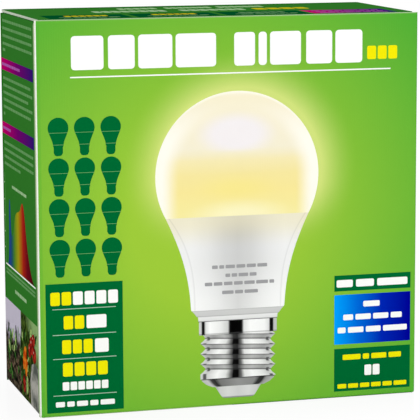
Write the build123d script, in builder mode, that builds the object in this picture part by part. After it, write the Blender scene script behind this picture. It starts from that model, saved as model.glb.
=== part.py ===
from build123d import *
from math import asin, atan2, cos, degrees, hypot, radians, sin, sqrt, tan
import os

# A printed retail carton for twelve screw-base LED bulbs, standing on its base.
# Millimetres, +Z up, +X to the right, front panel towards -Y.
# The origin is the middle of the base.

# Litho-laminated microflute board of the carton
BOARD = 1.8
CREASE_RADIUS = 2.0
LAYER_GAP = 0.3
GLUE_FLAP = 30.0

# Bulb: a globe over a flared housing, on an E26 screw base
BULB_DIAMETER = 60.0
DIFFUSER_HEIGHT = 44.5
JOINT_STEP = 0.3
HOUSING_HEIGHT = 32.6
HOUSING_WAIST_RADIUS = 19.7
HOUSING_FOOT_RADIUS = 17.0
COLLAR_HEIGHT = 4.5
COLLAR_RADIUS = 15.0
BAND_HEIGHT = 3.9
BAND_RADIUS = 13.4
SCREW_HEIGHT = 14.5
SCREW_RADIUS = 13.1
SCREW_DEPTH = 1.0
SCREW_PITCH = 3.63
BOWL_HEIGHT = 4.1
BOWL_LIP = 0.6
BOWL_FOOT_RADIUS = 9.5
INSULATOR_HEIGHT = 4.5
INSULATOR_RADIUS = 8.0
CONTACT_RADIUS = 4.2

# Partition: slotted strips that make a cell for each bulb
COLUMNS = 3
ROWS = 4
STRIP = 1.5
STRIP_SLIP = 0.5
SLOT_PLAY = 0.3
CELL_SIDE_ROOM = 23.5
CELL_HEAD_ROOM = 0.8
CELL_END_ROOM = 7.8
REST_GAP = 0.2
TOP_ROOM = 2.6

# Lid, with a tuck flap that goes down behind the front panel
TUCK_FLAP = 20.0
TUCK_SLANT = 8.0
TUCK_GAP = 0.5
TUCK_END_GAP = 1.6
TUCK_CORNER_RADIUS = 12.0
LID_INSET_BACK = 1.2
LID_INSET_FRONT = 3.0
MITRE_GAP = 0.1
FRONT_DROP = 0.4

# Dust flaps under the lid, and the flaps of the glued base
DUST_FLAP = 50.0
DUST_TAPER = 3.0
DUST_CORNER_RADIUS = 8.0
SWING_GAP = 0.8
BASE_FLAP = 58.0
BASE_SEAM = 0.6

# Bulb heights, measured from its contact, and its lean when it lies on a shelf
globe_radius = BULB_DIAMETER / 2
bowl_top = INSULATOR_HEIGHT + BOWL_HEIGHT
bowl_rim = bowl_top - BOWL_LIP
band_foot = bowl_top + SCREW_HEIGHT
root_radius = SCREW_RADIUS - SCREW_DEPTH
screw_turns = round(SCREW_HEIGHT / SCREW_PITCH)
screw_pitch = SCREW_HEIGHT / screw_turns
collar_foot = band_foot + BAND_HEIGHT
housing_foot = collar_foot + COLLAR_HEIGHT
joint_height = housing_foot + HOUSING_HEIGHT
bulb_length = joint_height + DIFFUSER_HEIGHT
globe_height = bulb_length - globe_radius
joint_radius = sqrt(globe_radius**2 - (globe_height - joint_height) ** 2)
rim_arm = globe_height - bowl_rim
lean = asin(globe_radius / hypot(rim_arm, SCREW_RADIUS)) - atan2(SCREW_RADIUS, rim_arm)
tail_reach = globe_height * cos(lean) + CONTACT_RADIUS * sin(lean)

# The bulbs and the partition set the size of the carton
column_pitch = BULB_DIAMETER + CELL_SIDE_ROOM + STRIP
row_pitch = BULB_DIAMETER + CELL_HEAD_ROOM + STRIP
inner_width = COLUMNS * column_pitch - STRIP + 2 * STRIP_SLIP
inner_depth = bulb_length + CELL_END_ROOM
x_wall = inner_width / 2 + BOARD
y_wall = inner_depth / 2 + BOARD
base_top = 2 * BOARD
cells_top = base_top + ROWS * row_pitch - STRIP
ring_top = cells_top + TOP_ROOM + BOARD
lid_under = ring_top + LAYER_GAP
lid_top = lid_under + BOARD

# The tuck flap's slant, and how near it swings to the hinge
slant = radians(TUCK_SLANT)
tuck_outside = -y_wall + BOARD + TUCK_GAP
tuck_inside = tuck_outside + TUCK_FLAP * sin(slant) + BOARD / cos(slant)
swing_radius = (y_wall - tuck_outside) * cos(slant) - BOARD
dust_front = y_wall - swing_radius + SWING_GAP
tuck_half_width = x_wall - BOARD - TUCK_END_GAP
dust_root = tuck_half_width + SWING_GAP
glue_top = lid_top - TUCK_FLAP - SWING_GAP

strip_front = tuck_inside + SWING_GAP
strip_back = y_wall - BOARD - STRIP_SLIP
strip_depth = strip_back - strip_front
strip_middle = (strip_front + strip_back) / 2
slot_length = (strip_depth + SLOT_PLAY) / 2
slot_width = STRIP + SLOT_PLAY
column_centres = [(i - (COLUMNS - 1) / 2) * column_pitch for i in range(COLUMNS)]
upright_centres = [x + column_pitch / 2 for x in column_centres[:-1]]
cell_floors = [base_top + i * row_pitch for i in range(ROWS)]


def sheet_section(points, inner_side):
    """Section of a folded sheet, from the line of its outer face."""
    with BuildSketch() as section:
        with BuildLine():
            FilletPolyline(*points, radius=CREASE_RADIUS)
            offset(amount=BOARD, side=inner_side)
        make_face()
    return section.sketch


def base_under(x):
    """Height of the closed base inside the carton, at this distance across it."""
    return base_top if abs(x) > x_wall - BASE_FLAP else BOARD


def save(part, name):
    """Label a finished piece and write it under its node's name."""
    part.label = name
    export_step(part, f"parts/{name}.step")


os.makedirs("parts", exist_ok=True)

# Carton: one folded and glued sheet, all but its lid panel
with BuildPart() as carton:
    # Walls round the upright creases, ending short of the top and base creases
    with BuildSketch(Plane.XY.offset(BOARD + CREASE_RADIUS)):
        add(
            sheet_section(
                [(-x_wall, -y_wall), (x_wall, -y_wall), (x_wall, y_wall), (0, y_wall)],
                Side.LEFT,
            )
        )
        # The left wall turns into the glue flap behind the front panel's raw edge
        add(
            sheet_section(
                [
                    (0, y_wall),
                    (-x_wall, y_wall),
                    (-x_wall, -y_wall + BOARD),
                    (-x_wall + GLUE_FLAP, -y_wall + BOARD),
                ],
                Side.LEFT,
            )
        )
    extrude(amount=ring_top - BOARD - 2 * CREASE_RADIUS)

    # The glue flap is cut down to make way for the tuck flap
    with BuildSketch(Plane.XZ.offset(y_wall - BOARD)):
        with BuildLine():
            Polyline(
                (-dust_root, ring_top),
                (-dust_root, glue_top),
                (-x_wall + GLUE_FLAP, glue_top),
                (-x_wall + GLUE_FLAP, ring_top),
                close=True,
            )
        make_face()
    extrude(amount=-BOARD, mode=Mode.SUBTRACT)

    # Front panel, from its bottom crease to its raw top edge
    with BuildSketch(Plane.XZ.offset(y_wall)):
        with BuildLine():
            Polyline(
                (-x_wall, CREASE_RADIUS),
                (x_wall - CREASE_RADIUS, CREASE_RADIUS),
                (x_wall - CREASE_RADIUS, lid_top - FRONT_DROP),
                (-x_wall, lid_top - FRONT_DROP),
                close=True,
            )
        make_face()
    extrude(amount=-BOARD)

    # Side walls with a dust flap at the top and a minor flap at the base
    for hand, inner_side in ((1, Side.LEFT), (-1, Side.RIGHT)):
        with BuildSketch(Plane.XZ.offset(CREASE_RADIUS - y_wall)):
            add(
                sheet_section(
                    [
                        (hand * (x_wall - BASE_FLAP), BOARD),
                        (hand * x_wall, BOARD),
                        (hand * x_wall, ring_top),
                        (hand * (x_wall - DUST_FLAP), ring_top),
                    ],
                    inner_side,
                )
            )
        extrude(amount=2 * y_wall - BOARD - 2 * CREASE_RADIUS)

        # Tapered outline of the dust flap, clear of the tuck flap's swing
        with BuildSketch(Plane.XY.offset(ring_top)):
            with Locations((hand * (dust_root - DUST_FLAP / 2), 0)):
                Rectangle(DUST_FLAP, 2 * (y_wall - BOARD))
            with BuildLine():
                FilletPolyline(
                    (hand * (dust_root + DUST_FLAP), dust_front - DUST_TAPER),
                    (hand * (x_wall - DUST_FLAP), dust_front + DUST_TAPER),
                    (hand * (x_wall - DUST_FLAP), strip_back - DUST_TAPER),
                    (hand * (dust_root + DUST_FLAP), strip_back + DUST_TAPER),
                    radius=DUST_CORNER_RADIUS,
                    close=True,
                )
            make_face(mode=Mode.SUBTRACT)
        extrude(amount=-BOARD, mode=Mode.SUBTRACT)

    # Major flaps of the base, which meet along its middle
    for hand, inner_side in ((-1, Side.LEFT), (1, Side.RIGHT)):
        with BuildSketch(Plane.YZ.offset(CREASE_RADIUS - x_wall)):
            add(
                sheet_section(
                    [
                        (hand * y_wall, base_top + CREASE_RADIUS),
                        (hand * y_wall, 0),
                        (hand * BASE_SEAM / 2, 0),
                    ],
                    inner_side,
                )
            )
        extrude(amount=2 * (x_wall - CREASE_RADIUS))

    # Back wall's half of the lid crease, mitred at 45 degrees
    with BuildSketch(Plane.YZ.offset(CREASE_RADIUS - x_wall)):
        with BuildLine():
            crease = CenterArc(
                (y_wall - CREASE_RADIUS, lid_top - CREASE_RADIUS),
                CREASE_RADIUS,
                0,
                45 - degrees(MITRE_GAP / CREASE_RADIUS) / 2,
            )
            Polyline(
                crease @ 1,
                (y_wall - BOARD, lid_under - MITRE_GAP),
                (y_wall - BOARD, ring_top - 2 * CREASE_RADIUS),
                (y_wall, ring_top - 2 * CREASE_RADIUS),
                crease @ 0,
            )
        make_face()
    extrude(amount=2 * (x_wall - CREASE_RADIUS))
save(carton.part, "carton")

# Lid: the top panel and its tuck flap, folded from the same sheet
with BuildPart() as lid:
    with BuildSketch(Plane.YZ.offset(-x_wall)):
        with BuildLine():
            crease = CenterArc(
                (y_wall - CREASE_RADIUS, lid_top - CREASE_RADIUS),
                CREASE_RADIUS,
                45 + degrees(MITRE_GAP / CREASE_RADIUS) / 2,
                45 - degrees(MITRE_GAP / CREASE_RADIUS) / 2,
            )
            tuck_end = (
                tuck_outside + TUCK_FLAP * sin(slant),
                lid_top - TUCK_FLAP * cos(slant),
            )
            outside = FilletPolyline(
                crease @ 1, (tuck_outside, lid_top), tuck_end, radius=CREASE_RADIUS
            )
            Polyline(
                outside @ 1,
                (tuck_end[0] + BOARD * cos(slant), tuck_end[1] + BOARD * sin(slant)),
                (tuck_outside + BOARD * (tan(slant) + 1 / cos(slant)), lid_under),
                (y_wall - BOARD - MITRE_GAP, lid_under),
                crease @ 0,
            )
        make_face()
    extrude(amount=2 * x_wall)

    # Plan: a little narrower towards the front
    with BuildSketch(Plane.XY.offset(lid_top)):
        with BuildLine():
            Polyline(
                (LID_INSET_FRONT - x_wall, -y_wall),
                (x_wall - LID_INSET_FRONT, -y_wall),
                (x_wall - LID_INSET_BACK, y_wall),
                (LID_INSET_BACK - x_wall, y_wall),
                close=True,
            )
        make_face()
    extrude(amount=-TUCK_FLAP, mode=Mode.INTERSECT)

    # The tuck flap passes between the side walls and has round corners
    with BuildSketch(Plane.XZ.offset(y_wall)) as tuck_outline:
        with Locations((0, lid_top - TUCK_FLAP / 2)):
            Rectangle(2 * tuck_half_width, TUCK_FLAP)
        fillet(tuck_outline.vertices().group_by(Axis.Y)[0], TUCK_CORNER_RADIUS)
        with Locations((0, lid_under + BOARD / 2)):
            Rectangle(2 * x_wall, BOARD)
    extrude(amount=-2 * y_wall, mode=Mode.INTERSECT)
save(lid.part, "lid")

# Shelves: level strips, slotted from the front to pass the uprights
for number, floor in enumerate(cell_floors[1:], start=1):
    with BuildPart() as shelf:
        with BuildSketch(Plane.XY.offset(floor)):
            with Locations((0, strip_middle)):
                Rectangle(inner_width - 2 * STRIP_SLIP, strip_depth)
            with Locations(*[(x, strip_front + slot_length / 2) for x in upright_centres]):
                Rectangle(slot_width, slot_length, mode=Mode.SUBTRACT)
        extrude(amount=-STRIP)
    save(shelf.part, f"shelf_{number}")

# Uprights: standing strips, slotted from the back to pass the shelves
for number, x in enumerate(upright_centres, start=1):
    foot = base_under(x) + REST_GAP
    slot_heights = [floor - STRIP / 2 for floor in cell_floors[1:]]
    with BuildPart() as upright:
        with BuildSketch(Plane.YZ.offset(x - STRIP / 2)):
            with Locations((strip_middle, (foot + cells_top) / 2)):
                Rectangle(strip_depth, cells_top - foot)
            with Locations(*[(strip_back - slot_length / 2, z) for z in slot_heights]):
                Rectangle(slot_length, slot_width, mode=Mode.SUBTRACT)
        extrude(amount=STRIP)
    save(upright.part, f"upright_{number}")

# Bulb, standing on its contact with the globe up
with BuildPart() as bulb:
    with BuildSketch(Plane.XZ):
        with BuildLine():
            Polyline(
                (0, 0),
                (CONTACT_RADIUS, 0),
                (INSULATOR_RADIUS, INSULATOR_HEIGHT),
                (BOWL_FOOT_RADIUS, INSULATOR_HEIGHT),
            )
            RadiusArc(
                (BOWL_FOOT_RADIUS, INSULATOR_HEIGHT),
                (SCREW_RADIUS, bowl_rim),
                -(SCREW_RADIUS - BOWL_FOOT_RADIUS + BOWL_LIP),
            )
            Polyline((SCREW_RADIUS, bowl_rim), (SCREW_RADIUS, bowl_top), (root_radius, bowl_top))
            # Round ridges of the screw base
            for turn in range(screw_turns):
                ridge_foot = bowl_top + turn * screw_pitch
                ThreePointArc(
                    (root_radius, ridge_foot),
                    (SCREW_RADIUS, ridge_foot + screw_pitch / 2),
                    (root_radius, ridge_foot + screw_pitch),
                )
            Polyline(
                (root_radius, band_foot),
                (BAND_RADIUS, band_foot),
                (BAND_RADIUS, collar_foot),
                (COLLAR_RADIUS, collar_foot),
                (HOUSING_FOOT_RADIUS, housing_foot),
            )
            ThreePointArc(
                (HOUSING_FOOT_RADIUS, housing_foot),
                (HOUSING_WAIST_RADIUS, (housing_foot + joint_height) / 2),
                (joint_radius - JOINT_STEP, joint_height),
            )
            Line((joint_radius - JOINT_STEP, joint_height), (joint_radius, joint_height))
            ThreePointArc(
                (joint_radius, joint_height),
                (globe_radius, globe_height),
                (0, bulb_length),
            )
            Line((0, bulb_length), (0, 0))
        make_face()
    revolve(axis=Axis.Z)

# Each bulb lies in its cell on its globe and the rim of its base
bulb_number = 0
for row, floor in enumerate(cell_floors):
    for x in column_centres:
        bulb_number += 1
        rest = (base_under(x) if row == 0 else floor) + REST_GAP
        globe_centre = (x, (globe_radius - tail_reach) / 2, rest + globe_radius)
        lying = Location(globe_centre, (90 - degrees(lean), 0, 0)) * Location((0, 0, -globe_height))
        with BuildPart() as packed_bulb:
            add(bulb.part.moved(lying))
        save(packed_bulb.part, f"bulb_{bulb_number}")

print(f"carton {2 * x_wall:.1f} x {2 * y_wall:.1f} x {lid_top:.1f} mm")
print(f"bulb {BULB_DIAMETER:.1f} x {bulb_length:.1f} mm, lean {degrees(lean):.1f} degrees")
print(f"swing {hypot(y_wall - tuck_end[0], lid_top - tuck_end[1]):.2f} of {2 * y_wall - BOARD:.2f} mm")
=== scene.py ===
"""Light bulb carton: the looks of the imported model, in metres, in the CAD frame.

The carton stands on its base with its printed front towards -Y. Its board keeps the CAD
solids and gets a printed finish, the printed fields are thin inlaid shapes on its faces,
and detailed bulbs stand for the twelve plain ones inside.
"""
import logging
import math
import random
from collections.abc import Callable, Iterable, Sequence
from dataclasses import dataclass, field
from enum import Enum

import bmesh
import bpy
from mathutils import Matrix, Vector
from mathutils.geometry import interpolate_bezier


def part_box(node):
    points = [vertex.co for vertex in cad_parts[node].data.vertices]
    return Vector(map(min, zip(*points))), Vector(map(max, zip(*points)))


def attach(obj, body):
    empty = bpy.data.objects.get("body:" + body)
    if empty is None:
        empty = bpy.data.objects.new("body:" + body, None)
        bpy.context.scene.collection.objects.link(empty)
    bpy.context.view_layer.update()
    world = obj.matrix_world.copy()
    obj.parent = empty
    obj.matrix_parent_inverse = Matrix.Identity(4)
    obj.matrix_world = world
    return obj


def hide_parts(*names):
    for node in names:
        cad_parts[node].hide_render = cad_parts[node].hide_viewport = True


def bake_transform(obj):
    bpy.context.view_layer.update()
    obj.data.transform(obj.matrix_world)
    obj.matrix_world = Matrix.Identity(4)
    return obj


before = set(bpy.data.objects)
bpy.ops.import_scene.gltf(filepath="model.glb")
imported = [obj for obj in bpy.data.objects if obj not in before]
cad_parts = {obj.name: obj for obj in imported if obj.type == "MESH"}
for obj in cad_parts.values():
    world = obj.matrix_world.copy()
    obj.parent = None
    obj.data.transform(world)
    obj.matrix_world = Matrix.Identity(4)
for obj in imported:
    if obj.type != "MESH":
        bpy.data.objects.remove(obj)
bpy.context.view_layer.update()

MM = 0.001

# The carton in millimetres. Its front panel stands higher than the ring of the dust flaps' folds
HALF_X, HALF_Y, FRONT_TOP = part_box("carton")[1] / MM
LID_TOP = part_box("lid")[1].z / MM
RING_TOP = 255.7
BOARD = 1.8
CREASE = 2.0
FLUTE_PITCH = 1.6

SHARP_TURN = math.radians(32)

log = logging.getLogger("carton")
Colour = tuple[float, float, float, float]
Point = tuple[float, float]
Spot = tuple[float, float, float]
# Left, low, right and high side of a rectangle
Box = tuple[float, float, float, float]
Socket = bpy.types.NodeSocket


def srgb(red: int, green: int, blue: int) -> Colour:
    """Linear colour from the three numbers, 0 to 255, that a screen shows.

    Args:
        red: Red on the screen.
        green: Green on the screen.
        blue: Blue on the screen.

    Returns:
        The colour that a shader socket takes.
    """
    shares = [channel / 255 for channel in (red, green, blue)]
    linear = [c / 12.92 if c <= 0.04045 else ((c + 0.055) / 1.055) ** 2.4 for c in shares]
    return (linear[0], linear[1], linear[2], 1.0)


def darker(colour: Colour, share: float) -> Colour:
    """The same colour with a share of its light."""
    return (colour[0] * share, colour[1] * share, colour[2] * share, 1.0)


def shades(*stops: tuple[float, ...]) -> tuple[tuple[float, Colour], ...]:
    """Ramp stops, from a place between 0 and 1 and then one grey level or red, green and blue."""
    return tuple((place, srgb(*(screen * 3)[:3])) for place, *screen in stops)


WHITE = srgb(255, 255, 255)


class Face(Enum):
    """A side of the carton, with the CAD axes of its width, height and outward normal."""

    FRONT = ((1, 0, 0), (0, 0, 1), (-HALF_X, -HALF_Y, 0))
    LEFT = ((0, -1, 0), (0, 0, 1), (-HALF_X, HALF_Y, 0))
    RIGHT = ((0, 1, 0), (0, 0, 1), (HALF_X, -HALF_Y, 0))
    BACK = ((-1, 0, 0), (0, 0, 1), (HALF_X, HALF_Y, 0))
    TOP = ((1, 0, 0), (0, 1, 0), (-HALF_X, -HALF_Y, LID_TOP))

    def place(self) -> Matrix:
        """Matrix from millimetres on this face to metres in the CAD frame.

        Returns:
            The matrix.
        """
        across, up, origin = (Vector(v) for v in self.value)
        turned = Matrix((across, up, across.cross(up))).transposed().to_4x4()
        return Matrix.Scale(MM, 4) @ Matrix.Translation(origin) @ turned


class Value:
    """A number that varies over a surface, on which Python's operators add Math nodes."""

    def __init__(self, nodes: "Nodes", socket: Socket) -> None:
        """Wrap a socket of a node tree."""
        self.nodes = nodes
        self.socket = socket

    def __add__(self, other: "Value | float") -> "Value":
        """Sum."""
        return self.nodes.maths("ADD", self, other)

    __radd__ = __add__

    def __sub__(self, other: "Value | float") -> "Value":
        """Difference."""
        return self.nodes.maths("SUBTRACT", self, other)

    def __rsub__(self, other: float) -> "Value":
        """Difference, from a plain number."""
        return self.nodes.maths("SUBTRACT", other, self)

    def __mul__(self, other: "Value | float") -> "Value":
        """Product."""
        return self.nodes.maths("MULTIPLY", self, other)

    __rmul__ = __mul__

    def __truediv__(self, other: "Value | float") -> "Value":
        """Quotient."""
        return self.nodes.maths("DIVIDE", self, other)

    def __pow__(self, power: float) -> "Value":
        """Power."""
        return self.nodes.maths("POWER", self, power)

    def __neg__(self) -> "Value":
        """Negative."""
        return self.nodes.maths("MULTIPLY", self, -1.0)

    def __abs__(self) -> "Value":
        """Size without its sign."""
        return self.nodes.maths("ABSOLUTE", self)


class Nodes:
    """The nodes of one material or world, added in the order in which they are asked for."""

    def __init__(self, tree: bpy.types.NodeTree) -> None:
        """Empty a node tree and take it.

        Args:
            tree: The tree of a material or world.
        """
        self.tree = tree
        self.vector: Socket | None = None
        tree.nodes.clear()

    def node(
        self,
        kind: str,
        settings: dict[str, object] | None = None,
        values: dict[str | int, object] | None = None,
    ) -> bpy.types.Node:
        """Add one node.

        Args:
            kind: The node's type.
            settings: Its properties, set first. A ramp's stops are pairs of place and colour.
            values: A number, a colour or a link for each named or numbered input.

        Returns:
            The new node.
        """
        made = self.tree.nodes.new(kind)
        for name, setting in (settings or {}).items():
            if name == "stops":
                self._fill_ramp(made.color_ramp, setting)
            else:
                setattr(made, name, setting)
        for name, value in (values or {}).items():
            socket = made.inputs[name]
            if isinstance(value, Value):
                self.tree.links.new(value.socket, socket)
            elif isinstance(value, Socket):
                self.tree.links.new(value, socket)
            else:
                socket.default_value = value
        return made

    @staticmethod
    def _fill_ramp(ramp: bpy.types.ColorRamp, stops: Sequence[tuple[float, Colour]]) -> None:
        """Give a colour ramp its stops.

        Args:
            ramp: The ramp of a new node, which has two stops.
            stops: Pairs of place and colour, in order.
        """
        while len(ramp.elements) < len(stops):
            ramp.elements.new(0.5)
        for element, (place, colour) in zip(ramp.elements, stops):
            element.position = place
            element.color = colour

    def maths(self, operation: str, *terms: Value | float) -> Value:
        """Result of a Math node with these inputs."""
        made = self.node("ShaderNodeMath", {"operation": operation}, dict(enumerate(terms)))
        return Value(self, made.outputs[0])

    def smooth(self, value: Value, low: float, high: float) -> Value:
        """Rise from 0 at low to 1 at high, or the other way round where low is the larger.

        Args:
            value: What the step reads.
            low: Where it is 0.
            high: Where it is 1.

        Returns:
            The step.
        """
        settings = {"interpolation_type": "SMOOTHSTEP", "clamp": True}
        made = self.node("ShaderNodeMapRange", settings, {"Value": value, 1: low, 2: high})
        return Value(self, made.outputs[0])

    def mix(
        self, share: Value | float, first: Colour | Socket, second: Colour | Socket, how: str = "MIX"
    ) -> Socket:
        """Blend from a first colour, where share is 0, to a second one, where it is 1."""
        settings = {"data_type": "RGBA", "blend_type": how, "clamp_factor": True}
        return self.node("ShaderNodeMix", settings, {0: share, 6: first, 7: second}).outputs[2]

    def ramp(self, value: Value, stops: Sequence[tuple[float, Colour]]) -> Socket:
        """Colour that changes with a value from 0 to 1."""
        return self.node("ShaderNodeValToRGB", {"stops": stops}, {0: value}).outputs[0]

    def most(self, first: Value | float, second: Value | float) -> Value:
        """The larger of two numbers."""
        return self.maths("MAXIMUM", first, second)

    def wave(self, along: Value, pitch: float) -> Value:
        """Sine of a place, whose crests are pitch millimetres apart."""
        return self.maths("SINE", along * (math.tau / pitch))

    def place(self) -> tuple[Value, ...]:
        """The three object coordinates in millimetres, which the clouds read too."""
        return self._in_millimetres(self.node("ShaderNodeTexCoord").outputs["Object"])

    def sheet_place(self) -> tuple[Value, ...]:
        """The place on a printed sheet in millimetres, from the piece's own UV map."""
        return self._in_millimetres(self.node("ShaderNodeUVMap", {"uv_map": "sheet"}).outputs[0])[:2]

    def _in_millimetres(self, source: Socket) -> tuple[Value, ...]:
        """Scale a vector in metres, keep it for the clouds and take it apart.

        Args:
            source: The vector's socket.

        Returns:
            Its three numbers.
        """
        scaled = self.node("ShaderNodeVectorMath", {"operation": "SCALE"}, {0: source, "Scale": 1 / MM})
        self.vector = scaled.outputs[0]
        parts = self.node("ShaderNodeSeparateXYZ", None, {0: self.vector}).outputs
        return tuple(Value(self, part) for part in parts)

    def cloud(self, size: float, detail: float = 2.0) -> Value:
        """Soft noise round 0.5, whose patches are about size millimetres across."""
        values = {"Vector": self.vector, "Scale": 1 / size, "Detail": detail}
        return Value(self, self.node("ShaderNodeTexNoise", None, values).outputs[0])

    def bump(self, height: Value, depth: float) -> Socket:
        """Normal of a surface that rises by up to depth millimetres where height is 1."""
        values = {"Height": height, "Distance": depth * MM}
        return self.node("ShaderNodeBump", None, values).outputs[0]

    def surface(self, **values: object) -> None:
        """End the material in one shader, whose sockets are named with underscores.

        Args:
            values: A number, a colour or a link for each socket.
        """
        named = {name.replace("_", " "): value for name, value in values.items()}
        shader = self.node("ShaderNodeBsdfPrincipled", None, named)
        self.node("ShaderNodeOutputMaterial", None, {0: shader.outputs[0]})


def finish_nodes(name: str) -> tuple[bpy.types.Material, Nodes]:
    """A new material and its empty nodes.

    Args:
        name: The material's name.

    Returns:
        The material and its nodes.
    """
    material = bpy.data.materials.new(name)
    material.use_nodes = True
    return material, Nodes(material.node_tree)


@dataclass(frozen=True)
class Varnish:
    """The thin matt varnish over the print."""

    roughness: float = 0.6
    specular: float = 0.0
    unevenness: float = 0.12
    depth: float = 0.012
    flute_share: float = 0.5
    patch_share: float = 0.6
    patch: float = 9.0

    def apply(self, nodes: Nodes, colour: Socket, along: Value) -> None:
        """End a printed finish with the varnish and the board's faint flutes.

        Args:
            nodes: The finish's nodes.
            colour: The print's colour.
            along: Place in millimetres across the flutes.
        """
        flutes = nodes.wave(along, FLUTE_PITCH)
        uneven = nodes.cloud(self.patch)
        nodes.surface(
            Base_Color=colour,
            Roughness=self.roughness + (uneven - 0.5) * self.unevenness,
            Specular_IOR_Level=self.specular,
            Normal=nodes.bump(flutes * self.flute_share + uneven * self.patch_share, self.depth),
        )


VARNISH = Varnish()


def printed(name: str, colour: Callable[..., Socket]) -> bpy.types.Material:
    """A varnished print finish, made on its first use.

    Args:
        name: Its name.
        colour: Gives a colour socket from the nodes and the two places on the sheet.

    Returns:
        The finish.
    """
    made = bpy.data.materials.get(name)
    if made is None:
        made, nodes = finish_nodes(name)
        u, v = nodes.sheet_place()
        VARNISH.apply(nodes, colour(nodes, u, v), u)
    return made


@dataclass(frozen=True)
class BoardColours:
    """What the carton's board shows where it isn't overprinted."""

    panel: Colour = srgb(48, 117, 40)
    panel_dark: Colour = srgb(34, 106, 26)
    front_middle: Colour = srgb(156, 200, 58)
    front_edge: Colour = srgb(68, 167, 52)
    glow: Colour = srgb(236, 238, 148)
    liner: Colour = srgb(246, 246, 240)
    core: Colour = srgb(214, 208, 190)
    # Pale green of worn print on the folds, also used as a painted highlight along the front's top edge
    wear_and_highlight: Colour = srgb(150, 190, 120)
    # Pale green of the painted highlight on the left panel by its front corner
    corner_highlight: Colour = srgb(214, 228, 186)
    cut: Colour = srgb(200, 216, 196)


BOARD_COLOURS = BoardColours()


@dataclass(frozen=True)
class FrontTint:
    """The light green ground of the front, brightest round the pictured bulb, with painted shade along its
    left edge.
    """

    colours: BoardColours = BOARD_COLOURS
    middle: Point = (-15.6, 120.0)
    reach: float = 219.4
    fall: float = 168.4
    curve: float = 1.3
    halo: Point = (6.7, 156.0)
    halo_radius: float = 55.5
    halo_width: float = 26.0
    halo_share: float = 0.62
    halo_foot: Point = (100.0, 150.0)
    # Width and share of the painted shade that darkens the ground along the panel's left edge
    edge_shade: float = 3.4
    edge_shade_share: float = 0.3

    def colour(self, nodes: Nodes, across: Value, up: Value) -> Socket:
        """The ground's colour.

        Args:
            nodes: The finish's nodes.
            across: Millimetres to the right of the panel's middle.
            up: Millimetres above the floor.

        Returns:
            A colour socket.
        """
        far = distance(nodes, across - self.middle[0], up - self.middle[1])
        share = nodes.most((self.reach - far) / self.fall, 0.0) ** self.curve
        ground = nodes.mix(share, self.colours.front_edge, self.colours.front_middle)
        # Painted shade: the ground darkens towards the panel's left edge, where it turns into the fold
        edge_shade = nodes.smooth(across + HALF_X, self.edge_shade, self.edge_shade - 1.0)
        ground = nodes.mix(edge_shade * self.edge_shade_share, ground, self.colours.front_edge)
        gap = distance(nodes, across - self.halo[0], up - self.halo[1]) - self.halo_radius
        near = nodes.most(1 - nodes.most(gap, 0.0) / self.halo_width, 0.0)
        high = nodes.smooth(up, *self.halo_foot)
        return nodes.mix(near * near * high * self.halo_share, ground, self.colours.glow)


def distance(nodes: Nodes, *sides: Value) -> Value:
    """Length of a vector from its sides.

    Args:
        nodes: The finish's nodes.
        sides: Its sides.

    Returns:
        The length.
    """
    total = sides[0] * sides[0]
    for side in sides[1:]:
        total = total + side * side
    return nodes.maths("SQRT", total)


def fold_depth(nodes: Nodes, radius: float, *beyond: Value) -> Value:
    """How far a point lies outside a corner that is folded with a radius, in millimetres.

    Args:
        nodes: The finish's nodes.
        radius: Radius of the folds.
        beyond: For each face of the corner, how far the point is beyond that face's plane.

    Returns:
        The distance: 0 on the outer skin and negative within the board.
    """
    sides = [value + radius for value in beyond]
    outside = distance(nodes, *[nodes.most(side, 0.0) for side in sides])
    deepest = sides[0]
    for side in sides[1:]:
        deepest = nodes.most(deepest, side)
    return outside + nodes.maths("MINIMUM", deepest, 0.0) - radius


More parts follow.
